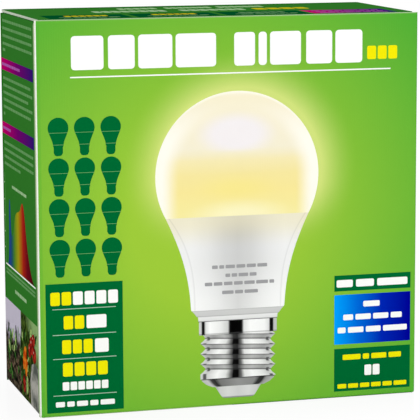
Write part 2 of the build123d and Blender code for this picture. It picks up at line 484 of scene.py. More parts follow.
@dataclass(frozen=True)
class PrintedBoard:
    """The carton's sheet: printed on its outer skin, white inside, with fluted raw edges."""

    colours: BoardColours = BOARD_COLOURS
    skin: float = 0.3
    bleed: float = 7.0
    # Width of the bare strip at the front's left end: its cut end, and a painted highlight on the front face
    margin: float = 0.75
    # Span and share of the painted highlight on the left panel towards its front corner
    highlight_span: Point = (7.5, 0.9)
    highlight_share: float = 0.85
    # Drops and share of the lighter band under the front's top edge: worn print and a painted highlight
    lip: Point = (1.0, 0.4)
    lip_share: float = 0.5
    flute_half: float = 0.42
    flute_stroke: Point = (0.26, 0.12)
    hollow_edge: Point = (0.62, 0.56)
    back_strip: Point = (7.6, 6.0)
    tuck_slant: float = 8.0
    tuck_gap: float = 0.5

    def carton(self) -> bpy.types.Material:
        """Finish of the carton's body.

        Returns:
            The finish.
        """
        material, nodes = finish_nodes("printed_carton_board")
        x, y, z = nodes.place()
        wide, deep = abs(x), abs(y)
        # The side walls end at the dust flaps' folds, the back at the lid's, the front above
        outer = nodes.smooth(deep, HALF_Y - CREASE - 0.1, HALF_Y - CREASE)
        open_top = nodes.smooth(y, 0.1, 0.0) * 100.0
        top = outer * (LID_TOP - RING_TOP + open_top) + RING_TOP
        depth = fold_depth(nodes, CREASE, wide - HALF_X, deep - HALF_Y, nodes.most(-z, z - top))
        on_skin = nodes.smooth(depth, -self.skin - 0.05, -self.skin + 0.05)
        # The front panel's bare left margin and raw top edge, and the dust flaps past their bleed. Beyond the
        # cut end, the bare margin on the front face is a painted highlight down the front-left corner
        raw_end_and_highlight = nodes.smooth(x, self.margin + 0.1 - HALF_X, self.margin - 0.1 - HALF_X)
        raw_end_and_highlight = raw_end_and_highlight * nodes.smooth(y, 0.08 + BOARD - HALF_Y, 0.02 + BOARD - HALF_Y)
        raw_top = nodes.smooth(z, FRONT_TOP - 0.08, FRONT_TOP - 0.02)
        raw_top = raw_top * nodes.smooth(y, -HALF_Y + BOARD + 0.1, -HALF_Y + BOARD)
        flap = nodes.smooth(z, RING_TOP - 1.0, RING_TOP - 0.9)
        flap = flap * nodes.smooth(wide, HALF_X - self.bleed, HALF_X - self.bleed - 0.2)
        covered = on_skin * (1 - raw_end_and_highlight) * (1 - raw_top) * (1 - flap * (1 - outer))
        # The flutes stand upright in the walls and run on into the flaps
        facing = nodes.smooth(deep, HALF_Y - BOARD - 0.3, HALF_Y - BOARD - 0.2)
        facing = nodes.most(facing, nodes.smooth(z, BOARD + 0.4, BOARD + 0.2))
        across = y + (x - y) * facing
        bare = self._raw(nodes, across, depth)
        VARNISH.apply(nodes, nodes.mix(covered, bare, self._print(nodes, x, y, z)), across)
        return material

    def _print(self, nodes: Nodes, x: Value, y: Value, z: Value) -> Socket:
        """The print's ground colour on every panel of the body, with painted shade and painted highlights by
        the front's folds.

        Args:
            nodes: The finish's nodes.
            x: Millimetres to the right.
            y: Millimetres to the back.
            z: Millimetres above the floor.

        Returns:
            A colour socket.
        """
        facing_back = nodes.smooth(y, -0.1, 0.1)
        front = FrontTint().colour(nodes, x * (1 - facing_back * 2), z)
        strip = nodes.smooth(y, *(HALF_Y - width for width in self.back_strip))
        side = nodes.mix(strip, self.colours.panel, self.colours.panel_dark)
        # Painted highlight: the left panel turns pale towards its fold with the front, as if lit there
        corner_highlight = nodes.smooth(y + HALF_Y, *self.highlight_span) * nodes.smooth(x, 0.1, 0.0)
        side = nodes.mix(corner_highlight * self.highlight_share, side, self.colours.corner_highlight)
        on_front = nodes.smooth(abs(y), HALF_Y - 1.1, HALF_Y - 0.5) * nodes.smooth(z, 0.3, 0.9)
        both = nodes.mix(on_front, side, front)
        # The front pales within a millimetre of its top edge: partly worn print, partly a painted highlight
        # along the fold
        lip = nodes.smooth(z, *(FRONT_TOP - drop for drop in self.lip))
        lip = lip * nodes.smooth(y, 0.5 - HALF_Y, -HALF_Y)
        return nodes.mix(lip * self.lip_share, both, self.colours.wear_and_highlight)

    def _liner(self, nodes: Nodes, across: Value) -> Socket:
        """Bare liner: mottled fibres over the faint ridges that the flutes press into it.

        Args:
            nodes: The finish's nodes.
            across: Millimetres across the flutes.

        Returns:
            A colour socket.
        """
        mottle = nodes.cloud(0.8, 4.0) * 0.3 + nodes.cloud(26.0, 3.0) * 0.5
        ridges = nodes.wave(across, FLUTE_PITCH) * 0.1
        return nodes.mix(mottle + ridges - 0.2, self.colours.liner, self.colours.core)

    def _raw(self, nodes: Nodes, across: Value, depth: Value) -> Socket:
        """Bare board: its white liner, and the flutes where an edge is cut.

        Args:
            nodes: The finish's nodes.
            across: Millimetres across the flutes.
            depth: How far the point lies within the board, as a negative number.

        Returns:
            A colour socket.
        """
        wave = nodes.wave(across, FLUTE_PITCH) * self.flute_half
        stroke = nodes.smooth(abs(depth + BOARD / 2 - wave), *self.flute_stroke)
        within = nodes.smooth(abs(depth + BOARD / 2), *self.hollow_edge)
        hollow = nodes.mix(stroke, self.colours.core, self.colours.liner)
        return nodes.mix(within * 0.75, self._liner(nodes, across), hollow)

    def lid(self) -> bpy.types.Material:
        """Finish of the lid and its tuck flap.

        Returns:
            The finish.
        """
        material, nodes = finish_nodes("printed_lid_board")
        x, y, z = nodes.place()
        slope = math.tan(math.radians(self.tuck_slant))
        tuck = -(y - (LID_TOP - z) * slope) - (HALF_Y - BOARD - self.tuck_gap)
        front = fold_depth(nodes, CREASE, z - LID_TOP, tuck)
        back = fold_depth(nodes, CREASE, z - LID_TOP, y - HALF_Y)
        covered = nodes.smooth(nodes.most(front, back), -self.skin, -self.skin + 0.1)
        covered = covered * nodes.smooth(z, LID_TOP - self.bleed, LID_TOP - self.bleed + 0.2)
        shade = nodes.smooth(y, HALF_Y - 20.0, HALF_Y - 4.0) * (0.4 + nodes.cloud(22.0))
        green = nodes.mix(shade, self.colours.panel, self.colours.panel_dark)
        middle = abs(z - (LID_TOP - BOARD / 2))
        hollow = nodes.smooth(middle, *self.hollow_edge) * 0.25
        cut = nodes.mix(hollow, self.colours.cut, self.colours.core)
        within = nodes.smooth(middle, BOARD / 2 - 0.01, BOARD / 2 - 0.04)
        bare = nodes.mix(within, self._liner(nodes, x), cut)
        VARNISH.apply(nodes, nodes.mix(covered, bare, green), x)
        return material


class Ink(Enum):
    """A flat printed colour."""

    WHITE = srgb(252, 252, 250)
    YELLOW = srgb(243, 233, 10)
    DARK_GREEN = srgb(0, 103, 50)
    TOP_GREEN = srgb(0, 78, 38)
    LINE_GREEN = srgb(120, 178, 110)
    RULE = srgb(176, 208, 186)
    PALE_GREEN = srgb(104, 156, 96)
    PALE_TEXT = srgb(158, 194, 146)
    SAGE = srgb(92, 142, 92)
    OLIVE = srgb(198, 186, 28)
    GREY_TEXT = srgb(158, 158, 160)
    LILAC = srgb(170, 92, 172)

    def finish(self) -> bpy.types.Material:
        """Its varnished finish, made once."""
        return printed(f"ink_{self.name.lower()}", self._colour)

    def _colour(self, nodes: Nodes, *_: Value) -> Socket:
        """The colour, a little uneven."""
        return nodes.mix(nodes.cloud(0.9) * 0.5, self.value, darker(self.value, 0.93))


class GardenInk(Enum):
    """A printed ground that drifts between two colours, and the size of its patches."""

    STONE = (srgb(84, 90, 84), srgb(176, 174, 166), 11.0)
    LEAF = (srgb(30, 84, 26), srgb(86, 132, 60), 3.0)
    DARK_LEAF = (srgb(8, 22, 10), srgb(34, 58, 26), 3.0)
    LIT_LEAF = (srgb(104, 158, 60), srgb(190, 206, 136), 3.0)
    BARK = (srgb(26, 18, 14), srgb(124, 104, 82), 3.0)
    RED = (srgb(92, 12, 12), srgb(176, 48, 36), 5.0)
    ORANGE = (srgb(190, 62, 14), srgb(226, 132, 36), 5.0)
    SHINE = (srgb(196, 116, 98), srgb(226, 168, 150), 2.0)

    def finish(self) -> bpy.types.Material:
        """Its varnished finish, made once."""
        return printed(f"ink_{self.name.lower()}", self._colour)

    def _colour(self, nodes: Nodes, *_: Value) -> Socket:
        """The colour in its patches."""
        first, second, size = self.value
        return nodes.mix(nodes.smooth(nodes.cloud(size, 4.0), 0.35, 0.65), first, second)


@dataclass(frozen=True)
class SweepInk:
    """A printed colour that changes evenly from the left of a field to its right."""

    name: str
    left: float
    right: float
    stops: tuple[tuple[float, Colour], ...]

    def finish(self) -> bpy.types.Material:
        """Its varnished finish, made once."""
        return printed(self.name, self._colour)

    def _colour(self, nodes: Nodes, u: Value, *_: Value) -> Socket:
        """The colour at a place across the field."""
        return nodes.ramp((u - self.left) / (self.right - self.left), self.stops)


RIGHT_PANELS = (200.3, 254.2)
BLUE = shades((0.0, 0, 160, 255), (0.3, 0, 104, 216), (0.62, 0, 36, 176), (1.0, 0, 0, 146))
MAGENTA = shades((0.0, 190, 0, 100), (0.5, 112, 5, 105), (1.0, 44, 20, 112))
RAINBOW = shades(
    (0.0, 30, 40, 120), (0.11, 36, 70, 140), (0.18, 32, 84, 96), (0.27, 74, 130, 40), (0.42, 160, 152, 22),
    (0.5, 170, 110, 24), (0.6, 168, 36, 24), (0.75, 108, 14, 26), (1.0, 60, 10, 22),
)
BLUE_SWEEP = SweepInk("ink_blue_sweep", *RIGHT_PANELS, BLUE)
SIDE_SWEEP = SweepInk("ink_magenta_sweep", 2.0, 112.0, MAGENTA)
TOP_SWEEP = SweepInk("ink_top_magenta_sweep", 187.0, 244.7, MAGENTA)
SPECTRUM = SweepInk("ink_spectrum", 14.0, 106.0, RAINBOW)


def gather(whole: bmesh.types.BMesh, part: bmesh.types.BMesh) -> None:
    """Move the faces of one mesh into another.

    Args:
        whole: The mesh that takes them.
        part: The mesh that gives them, which is then freed.
    """
    mesh = bpy.data.meshes.new("part")
    part.to_mesh(mesh)
    part.free()
    whole.from_mesh(mesh)
    bpy.data.meshes.remove(mesh)


def raised(flat: bmesh.types.BMesh, rise: float) -> None:
    """Give every face of a flat mesh its thickness, upwards.

    Args:
        flat: The mesh.
        rise: The thickness.
    """
    grown = bmesh.ops.extrude_face_region(flat, geom=flat.faces[:])["geom"]
    bmesh.ops.translate(flat, verts=corners(grown), vec=(0, 0, rise))
    bmesh.ops.recalc_face_normals(flat, faces=flat.faces)


def corners(items: Iterable[object]) -> list[bmesh.types.BMVert]:
    """The vertices among what an operator made."""
    return [item for item in items if isinstance(item, bmesh.types.BMVert)]


def shade_smooth(shape: bmesh.types.BMesh) -> None:
    """Shade a mesh smooth, but for the edges where it turns sharply.

    Args:
        shape: The mesh.
    """
    for side in shape.faces:
        side.smooth = True
    for edge in shape.edges:
        edge.smooth = edge.calc_face_angle(0.0) < SHARP_TURN


def new_object(
    name: str, shape: bmesh.types.BMesh, materials: Sequence[bpy.types.Material]
) -> bpy.types.Object:
    """Put a finished mesh into the scene.

    Args:
        name: The object's name.
        shape: Its mesh, in metres in the CAD frame, which is then freed.
        materials: Its finishes, in the order of its faces' material numbers.

    Returns:
        The object.
    """
    mesh = bpy.data.meshes.new(name)
    shape.to_mesh(mesh)
    shape.free()
    for material in materials:
        mesh.materials.append(material)
    made = bpy.data.objects.new(name, mesh)
    bpy.context.scene.collection.objects.link(made)
    log.info("%s: %d faces", name, len(mesh.polygons))
    return made


def add_piece(
    name: str, shape: bmesh.types.BMesh, materials: Sequence[bpy.types.Material], body: str
) -> bpy.types.Object:
    """Make a piece that rides on a CAD body.

    Args:
        name: The piece's name.
        shape: Its mesh, in metres in the CAD frame.
        materials: Its finishes, in the order of its faces' material numbers.
        body: The CAD body.

    Returns:
        The piece.
    """
    piece = new_object(name, shape, materials)
    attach(piece, body)
    return piece


class PrintedSheet:
    """Printed fields on one face of the carton, as thin shapes gathered in one mesh."""

    # The first two are millimetres, the others shares of a block's pitch or height
    STEP = 0.05
    SINK = 0.12
    GLYPH_GAP = 0.16
    GLYPH_CORNER = 0.12
    WORD_LENGTHS = (1.2, 3.6)
    LAST_WORD = 1.5
    WORD_GAP = 0.45
    WORD_CORNER = 0.2

    def __init__(self, face: Face) -> None:
        """Start an empty sheet."""
        self.face = face
        self.layers: dict[tuple[str, float], bmesh.types.BMesh] = {}

    def _layer(self, material: bpy.types.Material, level: float) -> bmesh.types.BMesh:
        """The flat shapes of one finish at one level."""
        return self.layers.setdefault((material.name, level), bmesh.new())

    def block(
        self, left: float, low: float, right: float, high: float, material: bpy.types.Material,
        level: float = 1, corner: float = 0.0,
    ) -> None:
        """Add a rectangle, in millimetres from the panel's lower left corner.

        Args:
            left: Its left side.
            low: Its lower side.
            right: Its right side.
            high: Its upper side.
            material: Its finish.
            level: How many ink steps it stands over the board.
            corner: Radius of its corners.
        """
        flat = self._layer(material, level)
        size = Matrix.Diagonal((right - left, high - low, 1, 1))
        middle = Matrix.Translation(((left + right) / 2, (low + high) / 2, 0))
        made = bmesh.ops.create_grid(flat, x_segments=1, y_segments=1, size=0.5, matrix=middle @ size)
        if corner:
            bmesh.ops.bevel(
                flat, geom=made["verts"], offset=corner, offset_type="OFFSET", affect="VERTICES",
                segments=3, profile=0.5, material=-1,
            )

    def disc(
        self, centre: Point, radii: Point, material: bpy.types.Material, level: float,
        turn: float, segments: int,
    ) -> None:
        """Add an ellipse.

        Args:
            centre: Its middle.
            radii: Its half width and half height.
            material: Its finish.
            level: How many ink steps it stands over the board.
            turn: Its turn in degrees.
            segments: Number of its sides.
        """
        place = Matrix.Translation((*centre, 0)) @ Matrix.Rotation(math.radians(turn), 4, "Z")
        bmesh.ops.create_circle(
            self._layer(material, level), cap_ends=True, radius=1.0, segments=segments,
            matrix=place @ Matrix.Diagonal((*radii, 1, 1)),
        )

    def outline(self, points: Iterable[Point], material: bpy.types.Material, level: float = 1) -> None:
        """Add a shape from the points round it."""
        flat = self._layer(material, level)
        flat.faces.new([flat.verts.new((*point, 0)) for point in points])

    def words(
        self, left: float, right: float, middle: float, height: float,
        material: bpy.types.Material, level: float, seed: int,
    ) -> None:
        """Fill a line with short bars of uneven length.

        Args:
            left: Start of the line.
            right: End of the line.
            middle: Height of its middle.
            height: Height of a bar.
            material: Its finish.
            level: How many ink steps it stands over the board.
            seed: Seed of the bars' lengths.
        """
        draw = random.Random(seed)
        start = left
        while start < right - height:
            end = min(start + height * draw.uniform(*self.WORD_LENGTHS), right)
            if right - end < height * self.LAST_WORD:
                end = right
            low, high = middle - height / 2, middle + height / 2
            self.block(start, low, end, high, material, level, height * self.WORD_CORNER)
            start = end + height * self.WORD_GAP

    def glyphs(
        self, left: float, right: float, low: float, high: float, count: int,
        material: bpy.types.Material, level: float = 1,
    ) -> None:
        """Fill a line with evenly spaced upright blocks.

        Args:
            left: Start of the line.
            right: End of the line.
            low: Foot of a block.
            high: Top of a block.
            count: How many there are.
            material: Their finish.
            level: How many ink steps they stand over the board.
        """
        pitch = (right - left) / (count - self.GLYPH_GAP)
        for number in range(count):
            start = left + number * pitch
            end = start + pitch * (1 - self.GLYPH_GAP)
            self.block(start, low, end, high, material, level, (high - low) * self.GLYPH_CORNER)

    def piece(self, name: str, body: str) -> None:
        """Give the shapes their thickness and their place on the carton.

        Args:
            name: The piece's name.
            body: The CAD body that it rides on.
        """
        whole = bmesh.new()
        names = list(dict.fromkeys(finish_name for finish_name, _ in self.layers))
        for (finish_name, level), flat in self.layers.items():
            bmesh.ops.translate(flat, verts=flat.verts, vec=(0, 0, -self.SINK))
            raised(flat, self.SINK + level * self.STEP)
            for side in flat.faces:
                side.material_index = names.index(finish_name)
            gather(whole, flat)
        sheet = whole.loops.layers.uv.new("sheet")
        for side in whole.faces:
            for loop in side.loops:
                loop[sheet].uv = loop.vert.co.xy * MM
        bmesh.ops.transform(whole, matrix=self.face.place(), verts=whole.verts)
        add_piece(name, whole, [bpy.data.materials[m] for m in names], body)


def curve(start: Point, leave: Point, arrive: Point, end: Point, steps: int = 14) -> list[Point]:
    """Points along a Bezier curve, without the last."""
    knots = [Vector((*p, 0)) for p in (start, leave, arrive, end)]
    return [(p.x, p.y) for p in interpolate_bezier(*knots, steps)][:-1]


def arc(centre: Point, radius: float, start: float, end: float, steps: int) -> list[Point]:
    """Points along an arc, from one angle in degrees to another."""
    angles = [math.radians(start + (end - start) * i / steps) for i in range(steps + 1)]
    return [(centre[0] + radius * math.cos(a), centre[1] + radius * math.sin(a)) for a in angles]


def mirrored(half: Sequence[Point], axis: float) -> list[Point]:
    """A closed outline from its right half, which runs downwards.

    Args:
        half: Points as distance from the axis and height.
        axis: Place of the axis.

    Returns:
        The whole outline, anticlockwise.
    """
    right = [(axis + width, height) for width, height in reversed(half)]
    left = [(axis - width, height) for width, height in half]
    return right + left


@dataclass(frozen=True)
class BulbPicture:
    """The lit bulb pictured on a large panel, in millimetres on that panel."""

    axis: float = 133.3
    globe: float = 153.5
    radius: float = 55.5
    joint: float = 127.0
    flare: tuple[Point, Point] = ((37.6, 104.1), (33.2, 87.4))
    housing_foot: float = 65.0
    housing_half: float = 31.6
    housing_swell: float = 17.2
    bevel_foot: float = 61.0
    collar_foot: float = 57.4
    band_foot: float = 48.5
    half_shell: float = 26.7
    screw_foot: float = 18.9
    lowest_crest: float = 22.3
    crest_fall: float = 2.9
    pitch: float = 6.87
    root: float = 22.4
    crest: float = 3.45
    sharpness: float = 1.4
    bowl_half: float = 25.4
    bowl_foot: float = 13.3
    bowl_foot_half: float = 17.7
    tip: float = 5.4

    def draw(self, sheet: PrintedSheet) -> None:
        """Add every field of the picture to a sheet.

        Args:
            sheet: The sheet.
        """
        drop = math.degrees(math.asin((self.globe - self.joint) / self.radius))
        dome = arc((self.axis, self.globe), self.radius, -drop, 180 + drop, 72)
        sheet.outline(dome, printed("ink_globe", self._globe))
        wide = self.radius * math.cos(math.radians(drop))
        edge = (self.housing_half + 0.4, self.housing_foot + 1.0)
        half = [
            *curve((wide, self.joint), *self.flare, edge), edge, (self.housing_half, self.housing_foot),
        ]
        sheet.outline(mirrored(half, self.axis), printed("ink_housing", self._housing))
        collar = [
            (31.4, self.housing_foot), (29.6, self.housing_foot - 2.0), (28.2, self.bevel_foot),
            (27.3, self.bevel_foot - 0.3), (27.0, self.collar_foot),
        ]
        sheet.outline(mirrored(collar, self.axis), printed("ink_collar", self._collar))
        sheet.block(
            self.axis - self.half_shell, self.band_foot, self.axis + self.half_shell, self.collar_foot,
            printed("ink_metal_band", self._band), 1, 0.6,
        )
        sheet.outline(self._screw_outline(), printed("ink_metal_screw", self._screw))
        bowl = [
            (self.bowl_half, self.screw_foot), (24.7, 17.6), (21.8, 15.1),
            (self.bowl_foot_half, self.bowl_foot),
        ]
        sheet.outline(mirrored(bowl, self.axis), printed("ink_metal_bowl", self._bowl))
        point = [(15.8, self.bowl_foot), (13.5, 9.8), (11.6, 6.9), (10.6, 5.8), (9.0, self.tip)]
        sheet.outline(mirrored(point, self.axis), printed("ink_insulator", self._insulator))
        self._small_words(sheet)

    def _small_words(self, sheet: PrintedSheet) -> None:
        """Rows of plain grey bars on the housing.

        Args:
            sheet: The sheet.
        """
        grey = Ink.GREY_TEXT.finish()
        rows = ((115.7, 153.4, 93.5), (124.8, 146.1, 87.7), (110.7, 158.2, 82.3), (122.5, 147.0, 76.4))
        for number, (left, right, middle) in enumerate(rows):
            sheet.words(left, right, middle, 2.3, grey, 2, 90 + number)

    def _screw_outline(self) -> list[Point]:
        """Outline of the pictured screw, whose crests fall a little from left to right.

        Returns:
            Its points, anticlockwise.
        """
        steps = 72
        height = self.band_foot - self.screw_foot
        heights = [self.screw_foot + height * i / steps for i in range(steps + 1)]

        def half_width(level: float, across: float) -> float:
            """Half width at one height, at the left side where across is 0 or the right where it is 1."""
            turns = max((level - self.lowest_crest + self.crest_fall * across) / self.pitch, 0.0)
            return self.root + self.crest * abs(2 * (turns % 1.0) - 1) ** self.sharpness

        right = [(self.axis + half_width(level, 1.0), level) for level in heights]
        left = [(self.axis - half_width(level, 0.0), level) for level in reversed(heights)]
        return right + left

    def _globe(self, nodes: Nodes, u: Value, v: Value) -> Socket:
        """Lit globe: white at its rim, lilac above its middle and warm below.

        Args:
            nodes: The finish's nodes.
            u: Millimetres across the panel.
            v: Millimetres up it.

        Returns:
            A colour socket.
        """
        rise = (v - self.joint) / (self.globe + self.radius - self.joint)
        warm = nodes.ramp(
            rise,
            (
                (0.0, srgb(245, 234, 160)),
                (0.2, srgb(245, 229, 152)),
                (0.335, srgb(243, 228, 158)),
                (0.45, srgb(243, 231, 179)),
                (0.5, srgb(242, 233, 199)),
                (0.55, srgb(242, 235, 210)),
                (0.8, srgb(243, 235, 209)),
                (0.95, srgb(243, 235, 205)),
                (1.0, srgb(247, 241, 219)),
            ),
        )
        lilac = distance(nodes, (u - self.axis + 0.8) / 26.0, (v - self.globe - 27.5) / 14.0)
        lilac = nodes.smooth(lilac, 1.2, 0.5) * nodes.smooth(v, self.globe + 14.0, self.globe + 18.0)
        warm = nodes.mix(lilac, warm, srgb(241, 236, 237))
        core = distance(nodes, (u - self.axis + 0.5) / 26.0, (v - self.globe + 8.0) / 8.5)
        warm = nodes.mix(nodes.smooth(core, 1.4, 0.1) * 0.55, warm, srgb(247, 231, 136))
        foot = distance(nodes, (u - self.axis - 2.0) / 36.0, (v - self.joint) / 11.0)
        warm = nodes.mix(nodes.smooth(foot, 1.2, 0.2), warm, srgb(249, 242, 194))
        above = nodes.most(v - self.globe, 0.0)
        inset = self.radius - distance(nodes, u - self.axis, above)
        rim = nodes.smooth(inset, 16.5, 3.5) * nodes.smooth(v, self.globe + 54.0, self.globe + 20.0)
        edge = nodes.smooth(self.radius - distance(nodes, u - self.axis, v - self.globe), 2.4, 0.4)
        rim = nodes.most(rim, edge * 0.7)
        return nodes.mix(rim, warm, srgb(252, 249, 237))

    def _housing(self, nodes: Nodes, u: Value, v: Value) -> Socket:
        """White plastic: greyest along its middle, warm under the globe.

        Args:
            nodes: The finish's nodes.
            u: Millimetres across the panel.
            v: Millimetres up it.

        Returns:
            A colour socket.
        """
        off = abs(u - self.axis)
        grey = nodes.ramp(off / 46.0, shades((0.0, 205), (0.2, 212), (0.45, 229), (0.7, 239), (1.0, 236)))
        grey = nodes.mix(nodes.smooth(v, 112.0, 127.0) * 0.42, grey, srgb(238, 238, 238))
        low = nodes.smooth(v, 98.0, 64.0) * (0.2 + off / 46.0)
        grey = nodes.mix(low, grey, srgb(250, 250, 250))
        rise = nodes.most((v - self.housing_foot) / (self.joint - self.housing_foot), 0.0)
        inset = self.housing_half + self.housing_swell * rise**2.6 - off
        seam = nodes.smooth(abs(inset - 2.2), 0.8, 0.1) * 0.16
        grey = nodes.mix(seam, grey, srgb(140, 140, 140))
        warm = nodes.smooth(v, 104.0, 125.0)
        return nodes.mix(warm * 0.9, grey, srgb(253, 246, 216), "MULTIPLY")

    def _collar(self, nodes: Nodes, _: Value, v: Value) -> Socket:
        """Bevel and ring under the housing, with the dark line over the shell.

        Args:
            nodes: The finish's nodes.
            v: Millimetres up the panel.

        Returns:
            A colour socket.
        """
        rise = (v - self.collar_foot) / (self.housing_foot - self.collar_foot)
        steps = shades(
            (0.0, 60), (0.05, 140), (0.09, 224), (0.4, 234), (0.455, 210), (0.475, 150), (0.52, 202),
            (0.9, 206), (1.0, 186),
        )
        return nodes.ramp(rise, steps)

    @staticmethod
    def _polished(nodes: Nodes, across: Value) -> Socket:
        """Polished metal between the room's dark and light, from left to right.

        Args:
            nodes: The finish's nodes.
            across: The place, from 0 to 1.

        Returns:
            A colour socket.
        """
        steps = shades(
            (0.0, 205), (0.028, 205), (0.04, 14), (0.066, 14), (0.085, 222), (0.14, 252), (0.28, 236),
            (0.37, 206), (0.392, 22), (0.42, 4), (0.54, 8), (0.556, 60), (0.575, 226), (0.66, 252),
            (0.84, 246), (0.9, 222), (0.912, 10), (0.95, 14), (0.962, 190), (1.0, 200),
        )
        return nodes.ramp(across, steps)

    def _band(self, nodes: Nodes, u: Value, v: Value) -> Socket:
        """Plain band over the screw.

        Args:
            nodes: The finish's nodes.
            u: Millimetres across the panel.
            v: Millimetres up it.

        Returns:
            A colour socket.
        """
        across = (u - self.axis) / (2 * self.half_shell) + 0.5
        bead = nodes.smooth(abs(v - self.band_foot - 0.5), 0.7, 0.1) * 0.45
        return nodes.mix(bead, self._polished(nodes, across), srgb(70, 70, 72))

    def _screw(self, nodes: Nodes, u: Value, v: Value) -> Socket:
        """Threads: each upper flank shines, each lower one is grey, with dark lines between.

        Args:
            nodes: The finish's nodes.
            u: Millimetres across the panel.
            v: Millimetres up it.

        Returns:
            A colour socket.
        """
        across = (u - self.axis) / (2 * self.half_shell) + 0.5
        turns = (v - self.lowest_crest + self.crest_fall * across) / self.pitch
        phase = nodes.maths("FRACT", nodes.most(turns, 0.0))
        wedge = abs(phase * 2 - 1)
        width = self.root + self.crest * wedge ** self.sharpness
        place = (u - self.axis) / width * 0.5 + 0.5
        grey = shades(
            (0.0, 196), (0.06, 176), (0.14, 156), (0.3, 186), (0.37, 150), (0.43, 60), (0.49, 44),
            (0.53, 100), (0.6, 168), (0.7, 186), (0.86, 158), (0.94, 176), (1.0, 196),
        )
        bright = shades(
            (0.0, 214), (0.06, 200), (0.13, 224), (0.22, 250), (0.33, 226), (0.39, 120), (0.43, 14),
            (0.5, 10), (0.545, 110), (0.59, 226), (0.7, 250), (0.84, 232), (0.94, 200), (1.0, 214),
        )
        upper = nodes.smooth(phase, 0.58, 0.4)
        metal = nodes.mix(upper, nodes.ramp(place, grey), nodes.ramp(place, bright))
        root_line = nodes.smooth(abs(phase - 0.54), 0.1, 0.01) * 0.72
        crest_line = nodes.smooth(phase, 0.86, 0.97) * 0.6
        aside = abs(place - 0.5)
        ring = nodes.smooth(abs(aside - 0.445), 0.032, 0.012)
        low = nodes.smooth(wedge, 0.5, 0.2)
        high = nodes.smooth(wedge, 0.84, 0.94)
        marks = ring * nodes.most(low, high) * 0.85
        lines = nodes.most(nodes.most(root_line, crest_line), marks)
        return nodes.mix(lines, metal, srgb(34, 34, 36))

    def _bowl(self, nodes: Nodes, u: Value, v: Value) -> Socket:
        """Rolled edge under the screw, narrower towards its foot.

        Args:
            nodes: The finish's nodes.
            u: Millimetres across the panel.
            v: Millimetres up it.

        Returns:
            A colour socket.
        """
        rise = nodes.most((v - self.bowl_foot) / (self.screw_foot - self.bowl_foot), 0.0)
        width = self.bowl_foot_half + (self.bowl_half - self.bowl_foot_half) * rise**0.6
        place = (u - self.axis) / width * 0.5 + 0.5
        steps = shades(
            (0.0, 190), (0.07, 196), (0.12, 70), (0.17, 44), (0.23, 118), (0.5, 148), (0.74, 138), (0.8, 52),
            (0.86, 46), (0.9, 150), (1.0, 176),
        )
        edge = nodes.smooth(v, self.screw_foot - 1.0, self.screw_foot - 0.3)
        return nodes.mix(edge * 0.75, nodes.ramp(place, steps), srgb(30, 30, 32))

    def _insulator(self, nodes: Nodes, u: Value, v: Value) -> Socket:
        """Pale tip with a dark line round its foot.

        Args:
            nodes: The finish's nodes.
            u: Millimetres across the panel.
            v: Millimetres up it.

        Returns:
            A colour socket.
        """
        shade = nodes.ramp(abs(u - self.axis) / 16.0, shades((0.0, 208), (0.45, 218), (0.8, 204), (1.0, 170)))
        foot = nodes.smooth(v, self.tip + 1.3, self.tip + 0.4) * 0.7
        return nodes.mix(foot, shade, srgb(84, 84, 86))


